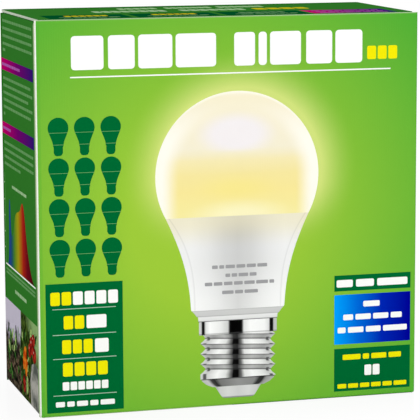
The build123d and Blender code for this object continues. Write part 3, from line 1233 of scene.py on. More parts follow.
@dataclass
class FrontPrint:
    """The fields printed on the front panel, and on the back one, in millimetres on that panel."""

    face: Face
    prefix: str
    title: Point = (225.3, 247.0)
    title_corner: float = 2.2
    rule: Box = (22.5, 220.3, 238.8, 221.15)
    icon_columns: tuple[float, ...] = (14.2, 31.3, 48.6)
    icon_tops: tuple[float, ...] = (195.4, 169.3, 143.1, 116.7)
    icon_radius: float = 6.75
    icon_line: float = 0.25
    left_panel: Box = (4.4, 3.0, 55.4, 87.9)
    panel_rule: Point = (8.8, 50.8)
    panel_rule_half: float = 0.22
    right_panels: tuple[Point, ...] = ((72.7, 83.4), (36.6, 70.2), (4.5, 33.6))

    def make(self) -> None:
        """Build every field."""
        self._title()
        picture = PrintedSheet(self.face)
        BulbPicture().draw(picture)
        picture.piece(f"{self.prefix}_bulb_picture", "carton")
        self._icons()
        self._left_panel()
        self._right_panels()

    def _title(self) -> None:
        """A row of large plain blocks, and the rule under them."""
        sheet = PrintedSheet(self.face)
        white, yellow = Ink.WHITE.finish(), Ink.YELLOW.finish()
        low, high = self.title
        for left, right in (
            (23.2, 44.4), (47.4, 64.9), (67.2, 89.8), (92.0, 119.0), (131.2, 145.3), (147.7, 153.3),
            (155.5, 176.6), (180.2, 198.1), (200.3, 219.0),
        ):
            sheet.block(left, low, right, high, white, 1, self.title_corner)
        sheet.glyphs(222.4, 243.4, 227.2, 236.0, 3, yellow)
        sheet.block(*self.rule, white)
        sheet.piece(f"{self.prefix}_title", "carton")

    def _icons(self) -> None:
        """Twelve dark bulbs in three columns and four rows."""
        sheet = PrintedSheet(self.face)
        green, pale = Ink.DARK_GREEN.finish(), Ink.LINE_GREEN.finish()
        dome = arc((0.0, -self.icon_radius), self.icon_radius, 90, -22, 14)
        neck = curve((6.2, -9.4), (5.3, -12.4), (3.5, -15.0), (3.3, -18.6), 8)
        foot = [(3.3, -18.6), (3.0, -19.2), (3.0, -22.6), (2.2, -24.2), (1.0, -24.7)]
        half = [*dome, *neck, *foot][1:]
        for axis in self.icon_columns:
            for top in self.icon_tops:
                sheet.outline(mirrored([(wide, top + high) for wide, high in half], axis), green)
                for wide, low in ((6.2, top - 9.95), (3.3, top - 17.65)):
                    sheet.block(axis - wide, low, axis + wide, low + self.icon_line, pale, 2)
        sheet.piece(f"{self.prefix}_bulb_icons", "carton")

    def _left_panel(self) -> None:
        """Dark panel of plain blocks and thin rules at the lower left."""
        sheet = PrintedSheet(self.face)
        white, yellow = Ink.WHITE.finish(), Ink.YELLOW.finish()
        sheet.block(*self.left_panel, Ink.DARK_GREEN.finish())
        start, end = self.panel_rule
        for level in (71.2, 54.3, 38.5, 14.3):
            low, high = level - self.panel_rule_half, level + self.panel_rule_half
            sheet.block(start, low, end, high, Ink.RULE.finish(), 2)
        rows = (
            (7.6, 21.2, 73.7, 82.4, 2, yellow), (22.4, 52.2, 73.7, 82.4, 4, white),
            (16.1, 29.6, 57.9, 66.6, 2, yellow), (31.2, 44.4, 57.9, 66.6, 1, white),
            (14.9, 35.0, 41.7, 50.8, 3, yellow), (36.6, 45.7, 41.7, 50.8, 1, white),
            (15.2, 44.9, 26.8, 35.8, 4, yellow), (14.9, 45.2, 17.6, 23.1, 6, white),
        )
        for left, right, low, high, count, ink in rows:
            sheet.glyphs(left, right, low, high, count, ink, 2)
        sheet.words(10.2, 49.4, 8.4, 3.4, white, 2, 4)
        sheet.piece(f"{self.prefix}_left_panel", "carton")

    def _right_panels(self) -> None:
        """Three panels of plain bars at the lower right."""
        sheet = PrintedSheet(self.face)
        white, yellow, green = Ink.WHITE.finish(), Ink.YELLOW.finish(), Ink.DARK_GREEN.finish()
        for (low, high), ink in zip(self.right_panels, (green, BLUE_SWEEP.finish(), green)):
            sheet.block(RIGHT_PANELS[0], low, RIGHT_PANELS[1], high, ink)
        rows = (
            (201.8, 252.0, 77.8, 5.0, white), (220.7, 232.3, 63.4, 3.8, white),
            (206.6, 248.1, 54.8, 3.8, white), (202.7, 251.8, 46.1, 3.8, white),
            (206.3, 247.8, 27.6, 3.6, yellow), (202.7, 251.8, 7.9, 3.0, yellow),
        )
        for number, (left, right, middle, height, ink) in enumerate(rows):
            sheet.words(left, right, middle, height, ink, 2, 11 + number)
        sheet.glyphs(221.8, 232.5, 14.5, 21.7, 2, white, 2)
        sheet.piece(f"{self.prefix}_right_panels", "carton")


@dataclass
class SidePrint:
    """The fields printed on a side panel, in millimetres on that panel."""

    face: Face
    prefix: str
    left: float = 9.0
    right: float = 109.0
    band: Point = (2.2, 112.5)
    print_height: float = 1.9
    chart_foot: float = 84.8
    chart_peak: float = 134.0
    axis: Box = (7.6, 84.4, 8.4, 147.0)
    ground: float = 0.9
    tick_half: float = 0.4
    wall: Box = (2.1, 2.1, 57.5, 59.4)
    hedge: Box = (57.5, 2.1, 114.5, 59.4)
    leaves: int = 120
    leaf_sides: Point = (8.0, 108.0)
    leaf_tops: Point = (44.0, 53.0)
    low_leaves: Point = (8.0, 26.0)
    high_share: float = 0.6
    soil_top: float = 24.0
    soil_shares: Point = (0.85, 0.5)
    bare_stone: Point = (86.0, 34.0)
    leaf_sizes: Point = (2.4, 5.6)
    leaf_slimness: Point = (0.22, 0.45)
    leaf_turns: Point = (30, 150)
    stone: tuple[Point, ...] = (
        (90.0, 2.1), (114.5, 2.1), (114.5, 31.0), (103.0, 33.0), (93.0, 30.0), (88.0, 18.0),
    )

    def make(self) -> None:
        """Build every field."""
        self._lines()
        self._chart()
        self._garden()

    def _lines(self) -> None:
        """Bands, and lines of thin bars."""
        sheet = PrintedSheet(self.face)
        pale, lilac, sweep = Ink.PALE_GREEN.finish(), Ink.LILAC.finish(), SIDE_SWEEP.finish()
        full, short = self.right, 18.0
        lines = (
            (251.0, full), (245.9, full), (240.8, full), (235.6, full), (231.4, short),
            (212.1, 103.0), (207.2, full), (202.4, 95.0), (197.6, full), (192.7, 103.0), (187.9, 13.5),
            (168.3, full), (163.5, full), (158.6, full), (153.8, 65.0),
        )
        for number, (level, end) in enumerate(lines):
            sheet.words(self.left, end, level, self.print_height, pale, 1, 100 + number)
        for low, high, end in ((217.4, 225.4, 68.0), (173.9, 181.9, 33.0)):
            sheet.block(self.band[0], low, self.band[1], high, sweep)
            sheet.words(6.0, end, (low + high) / 2, self.print_height, lilac, 2, int(high))
        sheet.piece(f"{self.prefix}_small_print", "carton")

    def _chart(self) -> None:
        """Spectrum chart: a narrow blue peak, then a broad hump that ends in red."""
        sheet = PrintedSheet(self.face)
        text, pale = Ink.PALE_TEXT.finish(), Ink.PALE_GREEN.finish()
        foot, peak = self.chart_foot, self.chart_peak
        shape = [
            *curve((15.4, foot), (19.0, 86.0), (20.6, 92.0), (21.6, 120.0), 10),
            *curve((21.6, 120.0), (22.4, peak), (25.8, peak), (26.8, 120.0), 12),
            *curve((26.8, 120.0), (28.2, 108.0), (29.2, 106.2), (31.5, 106.2), 8),
            *curve((31.5, 106.2), (37.0, 106.0), (39.0, 116.0), (42.0, 119.5), 8),
            *curve((42.0, 119.5), (46.0, 126.0), (55.0, 125.0), (60.5, 127.5), 8),
            *curve((60.5, 127.5), (64.0, 130.0), (66.5, 134.0), (69.5, 133.6), 8),
            *curve((69.5, 133.6), (75.0, 132.0), (77.5, 122.0), (81.5, 112.0), 10),
            *curve((81.5, 112.0), (88.0, 98.0), (96.0, 88.0), (106.0, foot), 10),
            (106.0, foot),
        ]
        sheet.outline(reversed(shape), SPECTRUM.finish())
        ground = self.axis[1] - self.ground
        sheet.block(8.5, ground, self.right + 1.0, self.axis[1], Ink.WHITE.finish(), 2)
        sheet.block(*self.axis, pale)
        sheet.words(34.2, 83.8, 140.2, 2.0, text, 1, 31)
        sheet.words(39.3, 78.6, 69.4, 2.4, text, 1, 32)
        for number, level in enumerate((78.2, 80.6)):
            sheet.words(self.left, self.right, level, 1.5, pale, 1, 40 + number)
        for level in (140.0, 128.2, 117.1, 106.0, 95.0):
            sheet.block(4.4, level - self.tick_half, 7.4, level + self.tick_half, text)
        sheet.piece(f"{self.prefix}_spectrum_chart", "carton")

    def _garden(self) -> None:
        """A generic picture of leaves and ripe fruit along the foot of the panel."""
        sheet = PrintedSheet(self.face)
        sheet.block(*self.wall, printed("ink_wall", self._wall))
        sheet.block(*self.hedge, printed("ink_hedge", self._hedge))
        sheet.outline(self.stone, GardenInk.STONE.finish(), 1.4)
        self._leaves(sheet)
        red, orange = GardenInk.RED.finish(), GardenInk.ORANGE.finish()
        tomatoes = (((95.0, 43.0), 6.3), ((88.5, 38.5), 4.8), ((103.5, 38.0), 5.4), ((101.0, 47.5), 4.4))
        for number, ((across, up), radius) in enumerate(tomatoes):
            level = 7.2 + 0.4 * number
            sheet.disc((across, up), (radius, radius * 0.95), red, level, 0, 24)
            glint = (across - radius * 0.3, up + radius * 0.35)
            sheet.disc(glint, (radius * 0.22, radius * 0.16), GardenInk.SHINE.finish(), level + 0.2, 30, 12)
        sheet.disc((70.5, 30.0), (4.2, 9.0), orange, 7.2, -24, 24)
        sheet.disc((76.0, 24.5), (3.0, 6.4), orange, 7.6, -14, 24)
        sheet.disc((68.5, 12.0), (3.4, 5.6), red, 7.2, 8, 20)
        sheet.disc((78.5, 13.0), (2.4, 6.5), GardenInk.LIT_LEAF.finish(), 7.6, -6, 20)
        sheet.piece(f"{self.prefix}_garden_picture", "carton")

    def _leaves(self, sheet: PrintedSheet) -> None:
        """Scatter leaves and soil over the picture, thin ones standing up from the soil.

        Args:
            sheet: The sheet.
        """
        draw = random.Random(7)
        soil = (GardenInk.BARK, GardenInk.BARK, GardenInk.DARK_LEAF)
        dark, lit = GardenInk.DARK_LEAF, GardenInk.LIT_LEAF
        plants = (GardenInk.LEAF, GardenInk.LEAF, lit, dark, dark)
        foot, low_top = self.low_leaves
        number = 0
        for _ in range(self.leaves):
            u = draw.uniform(*self.leaf_sides)
            right_side = u >= self.wall[2] - 0.5
            top = self.leaf_tops[right_side] if draw.random() < self.high_share else low_top
            v = draw.uniform(foot, top)
            size = draw.uniform(*self.leaf_sizes)
            slim = draw.uniform(*self.leaf_slimness)
            turn = draw.uniform(*self.leaf_turns)
            on_soil = v < self.soil_top and draw.random() < self.soil_shares[right_side]
            ink = draw.choice(soil if on_soil else plants)
            on_stone = u > self.bare_stone[0] and v < self.bare_stone[1]
            if not on_stone:
                sheet.disc((u, v), (size, size * slim), ink.finish(), 2 + 0.04 * number, turn, 12)
                number += 1

    @staticmethod
    def _wall(nodes: Nodes, _: Value, v: Value) -> Socket:
        """Colour of the pale wall behind the leaves, and of the dark soil towards its foot.

        Args:
            nodes: The finish's nodes.
            v: Millimetres up the panel.

        Returns:
            A colour socket.
        """
        low = nodes.smooth(v + (nodes.cloud(9.0, 4.0) - 0.5) * 34.0, 46.0, 30.0)
        clods = nodes.smooth(nodes.cloud(3.5, 4.0), 0.4, 0.7)
        return nodes.mix(low, srgb(196, 190, 206), nodes.mix(clods, srgb(16, 13, 11), srgb(98, 88, 70)))

    @staticmethod
    def _hedge(nodes: Nodes, u: Value, v: Value) -> Socket:
        """Colour of the dark leaves far behind, paler in the light at the upper right.

        Args:
            nodes: The finish's nodes.
            u: Millimetres across the panel.
            v: Millimetres up it.

        Returns:
            A colour socket.
        """
        patch = nodes.smooth(nodes.cloud(5.0, 4.0), 0.35, 0.65)
        shade = nodes.mix(patch, srgb(14, 30, 8), srgb(72, 94, 34))
        lit = nodes.smooth(u + v + (nodes.cloud(12.0, 3.0) - 0.5) * 40.0, 126.0, 160.0)
        return nodes.mix(lit * 0.8, shade, srgb(150, 186, 120))


@dataclass
class TopPrint:
    """The fields printed on the lid, in millimetres from the carton's left front corner."""

    first_row: Point = (86.0, 99.5)
    second_row: Point = (57.0, 73.5)
    tiles: Point = (4.4, 39.0)
    tile_type: Point = (22.0, 32.0)
    sweep: Point = (187.6, 244.7)

    def make(self) -> None:
        """Build every field."""
        sheet = PrintedSheet(Face.TOP)
        pale, yellow, sage = Ink.PALE_TEXT.finish(), Ink.OLIVE.finish(), Ink.SAGE.finish()
        for left, right, count in ((76.0, 102.5, 5), (109.0, 141.0, 7), (146.0, 178.0, 7)):
            sheet.glyphs(left, right, *self.first_row, count, pale)
        for left, right, count in ((52.5, 102.0, 8), (112.5, 157.0, 7)):
            sheet.glyphs(left, right, *self.second_row, count, pale)
        sheet.glyphs(164.0, 201.5, *self.second_row, 4, yellow)
        sheet.piece("lid_title", "lid")
        panels = PrintedSheet(Face.TOP)
        foot, top = self.tiles
        for left, right, ink in ((11.0, 65.2, yellow), (69.4, 124.5, yellow), (128.7, 185.4, sage)):
            panels.block(left, foot, right, top, Ink.TOP_GREEN.finish())
            panels.glyphs(left + 14.0, right - 12.0, *self.tile_type, 6, ink, 2)
            panels.words(left + 8.0, right - 6.0, 15.0, 3.4, sage, 2, int(left))
            panels.words(left + 10.0, right - 9.0, 9.0, 2.6, sage, 2, int(right))
        panels.block(self.sweep[0], foot, self.sweep[1], top, TOP_SWEEP.finish())
        for number, level in enumerate((29.0, 19.0, 9.5)):
            panels.words(193.0, 240.0, level, 3.0, Ink.LILAC.finish(), 2, 60 + number)
        panels.piece("lid_panels", "lid")


def dress_node(node: str, finish: bpy.types.Material) -> None:
    """Give a CAD node one finish.

    Args:
        node: The node's name.
        finish: Its finish.
    """
    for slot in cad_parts[node].material_slots:
        slot.material = finish
    log.info("%s: dressed", node)


@dataclass(frozen=True)
class PartitionBoard:
    """Brown fluted board of the strips between the bulbs."""

    liner: Colour = srgb(188, 152, 108)
    liner_dark: Colour = srgb(166, 128, 86)
    hollow: Colour = srgb(96, 70, 44)
    pitch: float = 2.4
    flute_share: float = 0.3
    flute_stroke: Point = (0.2, 0.1)
    core_edge: Point = (0.4, 0.36)
    washboard_share: float = 0.06
    fibre_edge: Point = (0.3, 0.7)
    roughness: float = 0.82
    unevenness: float = 0.1
    specular: float = 0.25
    depth: float = 0.08

    def dress(self, node: str, thin_axis: int) -> None:
        """Give a CAD strip its finish.

        Args:
            node: The strip's node.
            thin_axis: The axis of its thickness.
        """
        low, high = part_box(node)
        middle = (low[thin_axis] + high[thin_axis]) / 2 / MM
        thickness = (high[thin_axis] - low[thin_axis]) / MM
        made, nodes = finish_nodes(f"partition_board_{node}")
        parts = nodes.place()
        depth = parts[thin_axis] - middle
        along = parts[0] + parts[1] if thin_axis == 2 else parts[1] + parts[2]
        flutes = nodes.wave(along, self.pitch) * (thickness * self.flute_share)
        stroke = nodes.smooth(abs(depth - flutes), *self.flute_stroke)
        core = nodes.smooth(abs(depth), *(thickness * share for share in self.core_edge))
        fibre = nodes.cloud(1.2, 5.0)
        washboard = nodes.wave(parts[1], self.pitch)
        fibrous = nodes.smooth(fibre + washboard * self.washboard_share, *self.fibre_edge)
        skin = nodes.mix(fibrous, self.liner_dark, self.liner)
        cut = nodes.mix(stroke, self.hollow, self.liner)
        nodes.surface(
            Base_Color=nodes.mix(core, skin, cut),
            Roughness=self.roughness + (fibre - 0.5) * self.unevenness,
            Specular_IOR_Level=self.specular,
            Normal=nodes.bump(fibre * 0.5 + washboard * 0.5 * (1 - core), self.depth),
        )
        dress_node(node, made)


@dataclass
class Bulb:
    """One screw-base bulb, turned about +Z from its contact, in millimetres."""

    diameter: float = 60.0
    length: float = 108.6
    joint: float = 64.1
    joint_radius: float = 26.26
    joint_step: float = 0.3
    housing_foot: float = 31.5
    housing_radius: float = 17.0
    waist: Point = (19.7, 42.0)
    collar_foot: float = 27.0
    collar_radius: float = 15.0
    band_foot: float = 23.1
    band_radius: float = 13.4
    bowl_top: float = 8.6
    bowl_rim: float = 8.0
    bowl_foot_radius: float = 9.5
    screw_radius: float = 13.1
    root_radius: float = 12.1
    turns: int = 4
    rows_in_turn: int = 9
    thread_fade: float = 0.6
    crest_power: float = 1.3
    insulator_top: float = 4.5
    insulator_radius: float = 8.0
    contact_radius: float = 4.2
    steps: int = 56
    turn_between: float = 47.0
    materials: list[bpy.types.Material] = field(default_factory=list)

    def profile(self) -> list[Point]:
        """Right half of the bulb's section, from its contact up to the top of its globe.

        Returns:
            Points as radius and height.
        """
        globe = self.length - self.diameter / 2
        start = math.degrees(math.asin((self.joint + 0.5 - globe) / (self.diameter / 2)))
        rim = (self.joint_radius - self.joint_step, self.joint - 0.5)
        flare = curve(
            (self.housing_radius + 0.5, self.housing_foot + 0.3), (self.waist[0] - 0.8, self.waist[1]),
            (self.joint_radius - 4.4, self.joint - 9.0), rim, 16,
        )
        rows = self.turns * self.rows_in_turn
        screw = [
            (self.root_radius, self.bowl_top + (self.band_foot - self.bowl_top) * row / rows)
            for row in range(rows + 1)
        ]
        return [
            (0.0, 0.0), (2.6, 0.05), (3.8, 0.3), (self.contact_radius, 0.8),
            (self.contact_radius + 0.1, 1.0), (6.0, 2.6), (self.insulator_radius - 0.4, 4.0),
            (self.insulator_radius + 0.1, self.insulator_top), (self.bowl_foot_radius, self.insulator_top),
            (10.9, 4.9), (12.1, 5.9), (12.8, 7.0), (self.screw_radius, self.bowl_rim),
            (self.screw_radius - 0.15, self.bowl_top - 0.15), *screw,
            (self.band_radius - 0.2, self.band_foot + 0.1), (self.band_radius, self.band_foot + 0.4),
            (self.band_radius, self.collar_foot - 0.2), (self.collar_radius - 0.4, self.collar_foot),
            (self.collar_radius, self.collar_foot + 0.3),
            (self.collar_radius + 0.3, self.housing_foot - 1.0),
            (self.housing_radius - 0.6, self.housing_foot), (self.housing_radius, self.housing_foot + 0.1),
            *flare, rim,
            (self.joint_radius - 0.7, self.joint - 0.2), (self.joint_radius - 0.7, self.joint + 0.2),
            *arc((0.0, globe), self.diameter / 2, start, 90.0, 26)[:-1], (0.0, self.length),
        ]

    def make(self) -> bmesh.types.BMesh:
        """Spin the section, cut its thread and number its finishes.

        Returns:
            The bulb's mesh in metres, upright on its contact.
        """
        shape = bmesh.new()
        ring = [shape.verts.new((radius * MM, 0, height * MM)) for radius, height in self.profile()]
        line = [shape.edges.new(pair) for pair in zip(ring, ring[1:])]
        bmesh.ops.spin(
            shape, geom=ring + line, cent=(0, 0, 0), axis=(0, 0, 1), angle=math.tau,
            steps=self.steps, use_merge=True,
        )
        bmesh.ops.remove_doubles(shape, verts=shape.verts, dist=0.00001)
        self._cut_thread(shape)
        bmesh.ops.recalc_face_normals(shape, faces=shape.faces)
        shade_smooth(shape)
        for side in shape.faces:
            side.material_index = self._finish_at(side.calc_center_median())
        return shape

    def _cut_thread(self, shape: bmesh.types.BMesh) -> None:
        """Raise the crest of the thread, which climbs round the screw and fades at its ends.

        Args:
            shape: The bulb's mesh.
        """
        height = self.band_foot - self.bowl_top
        pitch = height / self.turns
        run = pitch * self.thread_fade
        swell = (self.screw_radius - self.root_radius) / self.root_radius
        for vert in shape.verts:
            level = vert.co.z / MM - self.bowl_top
            radius = vert.co.xy.length / MM
            if 0.0 < level < height and abs(radius - self.root_radius) < 0.01:
                turn = math.atan2(vert.co.y, vert.co.x) / math.tau
                crest = 0.5 - 0.5 * math.cos(math.tau * (level / pitch - turn))
                fade = min(1.0, level / run, (height - level) / run)
                wider = 1 + crest**self.crest_power * fade * swell
                vert.co.x *= wider
                vert.co.y *= wider

    def _finish_at(self, point: Vector) -> int:
        """Number of the finish at a point: contact, insulator, shell, housing or globe.

        Args:
            point: The point, in metres on the upright bulb.

        Returns:
            Its place in the list of finishes.
        """
        level, radius = point.z / MM, point.xy.length / MM
        if level < 0.9:
            return 0
        if level <= self.insulator_top and radius < self.insulator_radius + 0.5:
            return 1
        if level < self.collar_foot - 0.05:
            return 2
        return 3 if level < self.joint else 4

    def lean(self) -> float:
        """Angle in radians by which its base end drops when it lies on its globe.

        Returns:
            The angle.
        """
        arm = self.length - self.diameter / 2 - self.bowl_rim
        reach = math.hypot(arm, self.screw_radius)
        return math.asin(self.diameter / 2 / reach) - math.atan2(self.screw_radius, arm)

    def place(self, number: int) -> None:
        """Lay one bulb where its CAD node lies.

        Args:
            number: Number of the bulb's node.
        """
        node = f"bulb_{number}"
        low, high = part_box(node)
        radius = self.diameter / 2 * MM
        centre = Vector(((low.x + high.x) / 2, low.y + radius, low.z + radius))
        tilt = Matrix.Rotation(math.radians(90) - self.lean(), 4, "X")
        spun = Matrix.Rotation(math.radians(self.turn_between * number), 4, "Z")
        rise = Matrix.Translation((0, 0, (self.diameter / 2 - self.length) * MM))
        shape = self.make()
        bmesh.ops.transform(shape, matrix=Matrix.Translation(centre) @ tilt @ rise @ spun, verts=shape.verts)
        piece = add_piece(f"lying_{node}", shape, self.materials, "carton")
        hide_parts(node)


def bulb_finishes() -> list[bpy.types.Material]:
    """Contact, insulator, shell, housing and globe.

    Returns:
        Their finishes.
    """
    finishes = []
    looks = (
        ("contact_solder", srgb(186, 180, 168), 0.38, 1.0, 0.5, 0.03),
        ("insulator_ceramic", srgb(226, 226, 222), 0.3, 0.0, 0.5, 0.01),
        ("screw_shell_nickel", srgb(214, 212, 208), 0.2, 1.0, 0.5, 0.006),
        ("housing_plastic", srgb(238, 238, 236), 0.42, 0.0, 0.4, 0.012),
        ("globe_opal", srgb(246, 245, 240), 0.5, 0.0, 0.4, 0.01),
    )
    for name, colour, roughness, metallic, specular, depth in looks:
        made, nodes = finish_nodes(name)
        nodes.place()
        grain = nodes.cloud(1.1, 4.0)
        nodes.surface(
            Base_Color=nodes.mix(nodes.cloud(14.0) * 0.5, colour, darker(colour, 0.9)),
            Roughness=roughness + (grain - 0.5) * 0.16,
            Metallic=metallic,
            Specular_IOR_Level=specular,
            Normal=nodes.bump(grain, depth),
        )
        finishes.append(made)
    return finishes


@dataclass
class CreaseStrip:
    """The outer liner over the lid's fold, which joins the back panel to the lid."""

    run: float = 5.0
    lift: float = 0.06
    thickness: float = 0.18
    end_gap: float = 2.2
    worn_patches: Point = (0.55, 0.8)
    worn_share: float = 0.5
    # How far inside the outer planes of the back and the lid each change starts and ends
    worn_back: Point = (2.2, 1.0)
    worn_top: Point = (2.4, 1.2)
    dark_top: Point = (3.4, 1.8)

    def finish(self) -> bpy.types.Material:
        """Its finish: the back's light green below the fold, the lid's dark green over it.

        Returns:
            The finish.
        """
        made, nodes = finish_nodes("crease_liner")
        x, y, z = nodes.place()
        worn = nodes.smooth(nodes.cloud(6.0, 4.0), *self.worn_patches) * self.worn_share
        worn = worn * nodes.smooth(y, *(HALF_Y - inset for inset in self.worn_back))
        worn = worn * nodes.smooth(z, *(LID_TOP - drop for drop in self.worn_top))
        over = nodes.smooth(z, *(LID_TOP - drop for drop in self.dark_top))
        green = nodes.mix(over, FrontTint().colour(nodes, -x, z), BOARD_COLOURS.panel_dark)
        VARNISH.apply(nodes, nodes.mix(worn, green, BOARD_COLOURS.wear_and_highlight), x)
        return made

    def make(self) -> None:
        """Build the strip along the fold."""
        shape = bmesh.new()
        fold = arc((HALF_Y - CREASE, LID_TOP - CREASE), CREASE + self.lift, 0.0, 90.0, 10)
        line = [(HALF_Y + self.lift, LID_TOP - self.run), *fold, (HALF_Y - self.run, LID_TOP + self.lift)]
        half = (HALF_X - self.end_gap) * MM
        ends = [shape.verts.new((-half, y * MM, z * MM)) for y, z in line]
        chain = [shape.edges.new(pair) for pair in zip(ends, ends[1:])]
        grown = bmesh.ops.extrude_edge_only(shape, edges=chain)["geom"]
        bmesh.ops.translate(shape, verts=corners(grown), vec=(2 * half, 0, 0))
        bmesh.ops.recalc_face_normals(shape, faces=shape.faces)
        bmesh.ops.solidify(shape, geom=shape.faces[:], thickness=self.thickness * MM)
        bmesh.ops.recalc_face_normals(shape, faces=shape.faces)
        shade_smooth(shape)
        piece = new_object("lid_crease", shape, [self.finish()])
        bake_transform(piece)


@dataclass(frozen=True)
class CornerFolds:
    """Ends of the upright creases, which close the carton's corners past the flaps' folds."""

    outer: float = CREASE - 0.02
    inner: float = CREASE - BOARD + 0.02
    leg: float = 0.4
    foot: float = 0.25
    rounding: float = 1.1
    base_fold: float = BOARD + CREASE
    ring_fold: float = RING_TOP - CREASE

    def section(self, inset: float) -> list[Point]:
        """Outline of the folded board at the right front corner, inset from the front's plane.

        Args:
            inset: How far it stands behind that plane.

        Returns:
            Its points in millimetres, in order.
        """
        middle = (HALF_X - CREASE, CREASE - HALF_Y + inset)
        outside = arc(middle, self.outer, -90.0, 0.0, 8)
        inside = arc(middle, self.inner, 0.0, -90.0, 4)
        return [
            (middle[0] - self.leg, middle[1] - self.outer), *outside,
            (middle[0] + self.outer, middle[1] + self.leg), (middle[0] + self.inner, middle[1] + self.leg),
            *inside, (middle[0] - self.leg, middle[1] - self.inner),
        ]

    def _add(self, whole: bmesh.types.BMesh, hands: Point, inset: float, low: float, high: float) -> None:
        """Add one length of crease, with a rounded foot where it stands near the floor.

        Args:
            whole: The mesh that gathers them.
            hands: Signs of the corner's x and y, seen against the right front one.
            inset: How far it stands behind the plane of its front or back panel.
            low: Height of its foot.
            high: Height of its top.
        """
        length = bmesh.new()
        ring = [length.verts.new((x, y, low)) for x, y in self.section(inset)]
        length.faces.new(ring)
        raised(length, high - low)
        if low == self.foot:
            rim = [edge for edge in length.edges if set(edge.verts) <= set(ring[1:10])]
            bmesh.ops.bevel(
                length, geom=rim, offset=self.rounding, offset_type="OFFSET", affect="EDGES",
                segments=3, profile=0.5, material=-1,
            )
        bmesh.ops.scale(length, vec=(hands[0] * MM, hands[1] * MM, MM), verts=length.verts)
        bmesh.ops.recalc_face_normals(length, faces=length.faces)
        gather(whole, length)

    def make(self, finish: bpy.types.Material) -> None:
        """Build the feet and the tops; the left wall's front crease stands behind the front panel.

        Args:
            finish: The finish of the carton's body.
        """
        whole = bmesh.new()
        tops = {(1, 1): FRONT_TOP - 0.02, (-1, 1): RING_TOP - 0.1}
        for hands in ((1, 1), (-1, 1), (1, -1), (-1, -1)):
            inset = BOARD if hands == (-1, 1) else 0.0
            self._add(whole, hands, inset, self.foot, self.base_fold + self.leg)
            self._add(whole, hands, inset, self.ring_fold - self.leg, tops.get(hands, RING_TOP - 0.2))
        self._add(whole, (-1, 1), 0.0, self.foot, self.base_fold + self.leg)
        shade_smooth(whole)
        add_piece("corner_folds", whole, [finish], "carton")


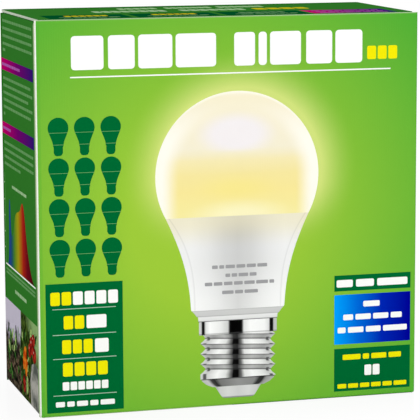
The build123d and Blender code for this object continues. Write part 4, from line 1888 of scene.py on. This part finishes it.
@dataclass(frozen=True)
class Studio:
    """Floor, world, lamps and camera."""

    camera_place: Spot = (-0.408044, -1.463502, 0.349162)
    camera_ahead: Spot = (0.26698, 0.952324, -0.147651)
    camera_up: Spot = (0.044022, 0.141001, 0.98903)
    lens: float = 193.68
    sensor: float = 36.0
    clip: Point = (0.05, 50.0)
    ambient: float = 0.62
    power: float = 9.0
    lamp_size: float = 1.6
    aim: Spot = (0.0, 0.0, 0.12)
    lamps: tuple[tuple[str, Spot, float], ...] = (
        ("key_lamp", (-1.2, -1.9, 1.7), 3.0),
        ("fill_lamp", (1.6, -1.4, 1.0), 1.0),
        ("back_lamp", (1.1, 2.1, 0.9), 1.7),
    )
    floor_reach: float = 3.0
    floor_fade: float = 90.0
    floor_rounding: float = 20.0
    floor_near: float = 0.9
    floor_roughness: float = 0.16
    floor_specular: float = 0.1

    def camera(self) -> None:
        """Stand the camera where the photograph was taken."""
        data = bpy.data.cameras.new("camera")
        data.lens = self.lens
        data.sensor_width = self.sensor
        data.clip_start, data.clip_end = self.clip
        camera = bpy.data.objects.new("camera", data)
        back = -Vector(self.camera_ahead).normalized()
        right = Vector(self.camera_up).cross(back).normalized()
        turned = Matrix((right, back.cross(right), back)).transposed().to_4x4()
        camera.matrix_world = Matrix.Translation(self.camera_place) @ turned
        bpy.context.scene.collection.objects.link(camera)
        bpy.context.scene.camera = camera

    def world(self) -> None:
        """A soft even sky that looks white to the camera and in reflections."""
        world = bpy.data.worlds.new("studio")
        world.use_nodes = True
        bpy.context.scene.world = world
        nodes = Nodes(world.node_tree)
        path = nodes.node("ShaderNodeLightPath").outputs
        camera, glossy, through = (
            Value(nodes, path[f"Is {kind} Ray"]) for kind in ("Camera", "Glossy", "Transmission")
        )
        seen = nodes.most(nodes.most(camera, glossy), through)
        sky = nodes.node("ShaderNodeBackground", None, {0: WHITE, 1: self.ambient})
        white = nodes.node("ShaderNodeBackground", None, {0: WHITE, 1: 1.0})
        both = nodes.node("ShaderNodeMixShader", None, {0: seen, 1: sky.outputs[0], 2: white.outputs[0]})
        nodes.node("ShaderNodeOutputWorld", None, {0: both.outputs[0]})

    def lamp(self, name: str, place: Spot, power: float) -> None:
        """Hang a square lamp that faces the carton.

        Args:
            name: Its name.
            place: Where it hangs.
            power: Its power in watts.
        """
        data = bpy.data.lights.new(name, "AREA")
        data.energy = power
        data.size = self.lamp_size
        lamp = bpy.data.objects.new(name, data)
        aim = Vector(self.aim) - Vector(place)
        lamp.matrix_world = Matrix.Translation(place) @ aim.to_track_quat("-Z", "Y").to_matrix().to_4x4()
        bpy.context.scene.collection.objects.link(lamp)

    def floor(self) -> None:
        """A white floor that keeps the carton's soft shadow and a faint reflection."""
        shape = bmesh.new()
        bmesh.ops.create_grid(shape, x_segments=2, y_segments=2, size=self.floor_reach)
        made, nodes = finish_nodes("floor_white")
        x, y, _ = nodes.place()
        seen = Value(nodes, nodes.node("ShaderNodeLightPath").outputs["Is Camera Ray"])
        gap = fold_depth(nodes, self.floor_rounding, abs(x) - HALF_X, abs(y) - HALF_Y)
        far = nodes.smooth(gap, 0.0, self.floor_fade)
        looks = {
            "Base Color": srgb(250, 250, 250), "Roughness": self.floor_roughness,
            "Specular IOR Level": self.floor_specular,
        }
        shade = nodes.node("ShaderNodeBsdfPrincipled", None, looks)
        white = nodes.node("ShaderNodeEmission", None, {0: WHITE, 1: 1.0})
        share = seen * (self.floor_near + (1 - self.floor_near) * far)
        both = nodes.node("ShaderNodeMixShader", None, {0: share, 1: shade.outputs[0], 2: white.outputs[0]})
        nodes.node("ShaderNodeOutputMaterial", None, {0: both.outputs[0]})
        new_object("floor", shape, [made])

    def make(self) -> None:
        """Set up the whole studio."""
        bpy.context.scene.view_settings.view_transform = "Standard"
        self.camera()
        self.world()
        for name, place, share in self.lamps:
            self.lamp(name, place, self.power * share)
        self.floor()


def dress_board() -> bpy.types.Material:
    """Give the carton and its lid their printed finishes.

    Returns:
        The carton's finish.
    """
    board = PrintedBoard()
    finish = board.carton()
    dress_node("carton", finish)
    dress_node("lid", board.lid())
    return finish


def dress_partition() -> None:
    """Give the strips between the bulbs their brown board."""
    board = PartitionBoard()
    for number in (1, 2, 3):
        board.dress(f"shelf_{number}", 2)
    for number in (1, 2):
        board.dress(f"upright_{number}", 0)


def main() -> None:
    """Build every piece in order."""
    logging.basicConfig(level=logging.INFO, format="%(name)s: %(message)s")
    Studio().make()
    CornerFolds().make(dress_board())
    dress_partition()
    FrontPrint(Face.FRONT, "front").make()
    FrontPrint(Face.BACK, "back").make()
    SidePrint(Face.LEFT, "left").make()
    SidePrint(Face.RIGHT, "right").make()
    TopPrint().make()
    CreaseStrip().make()
    bulb = Bulb(materials=bulb_finishes())
    for number in range(1, 13):
        bulb.place(number)


if __name__ == "__main__":
    main()
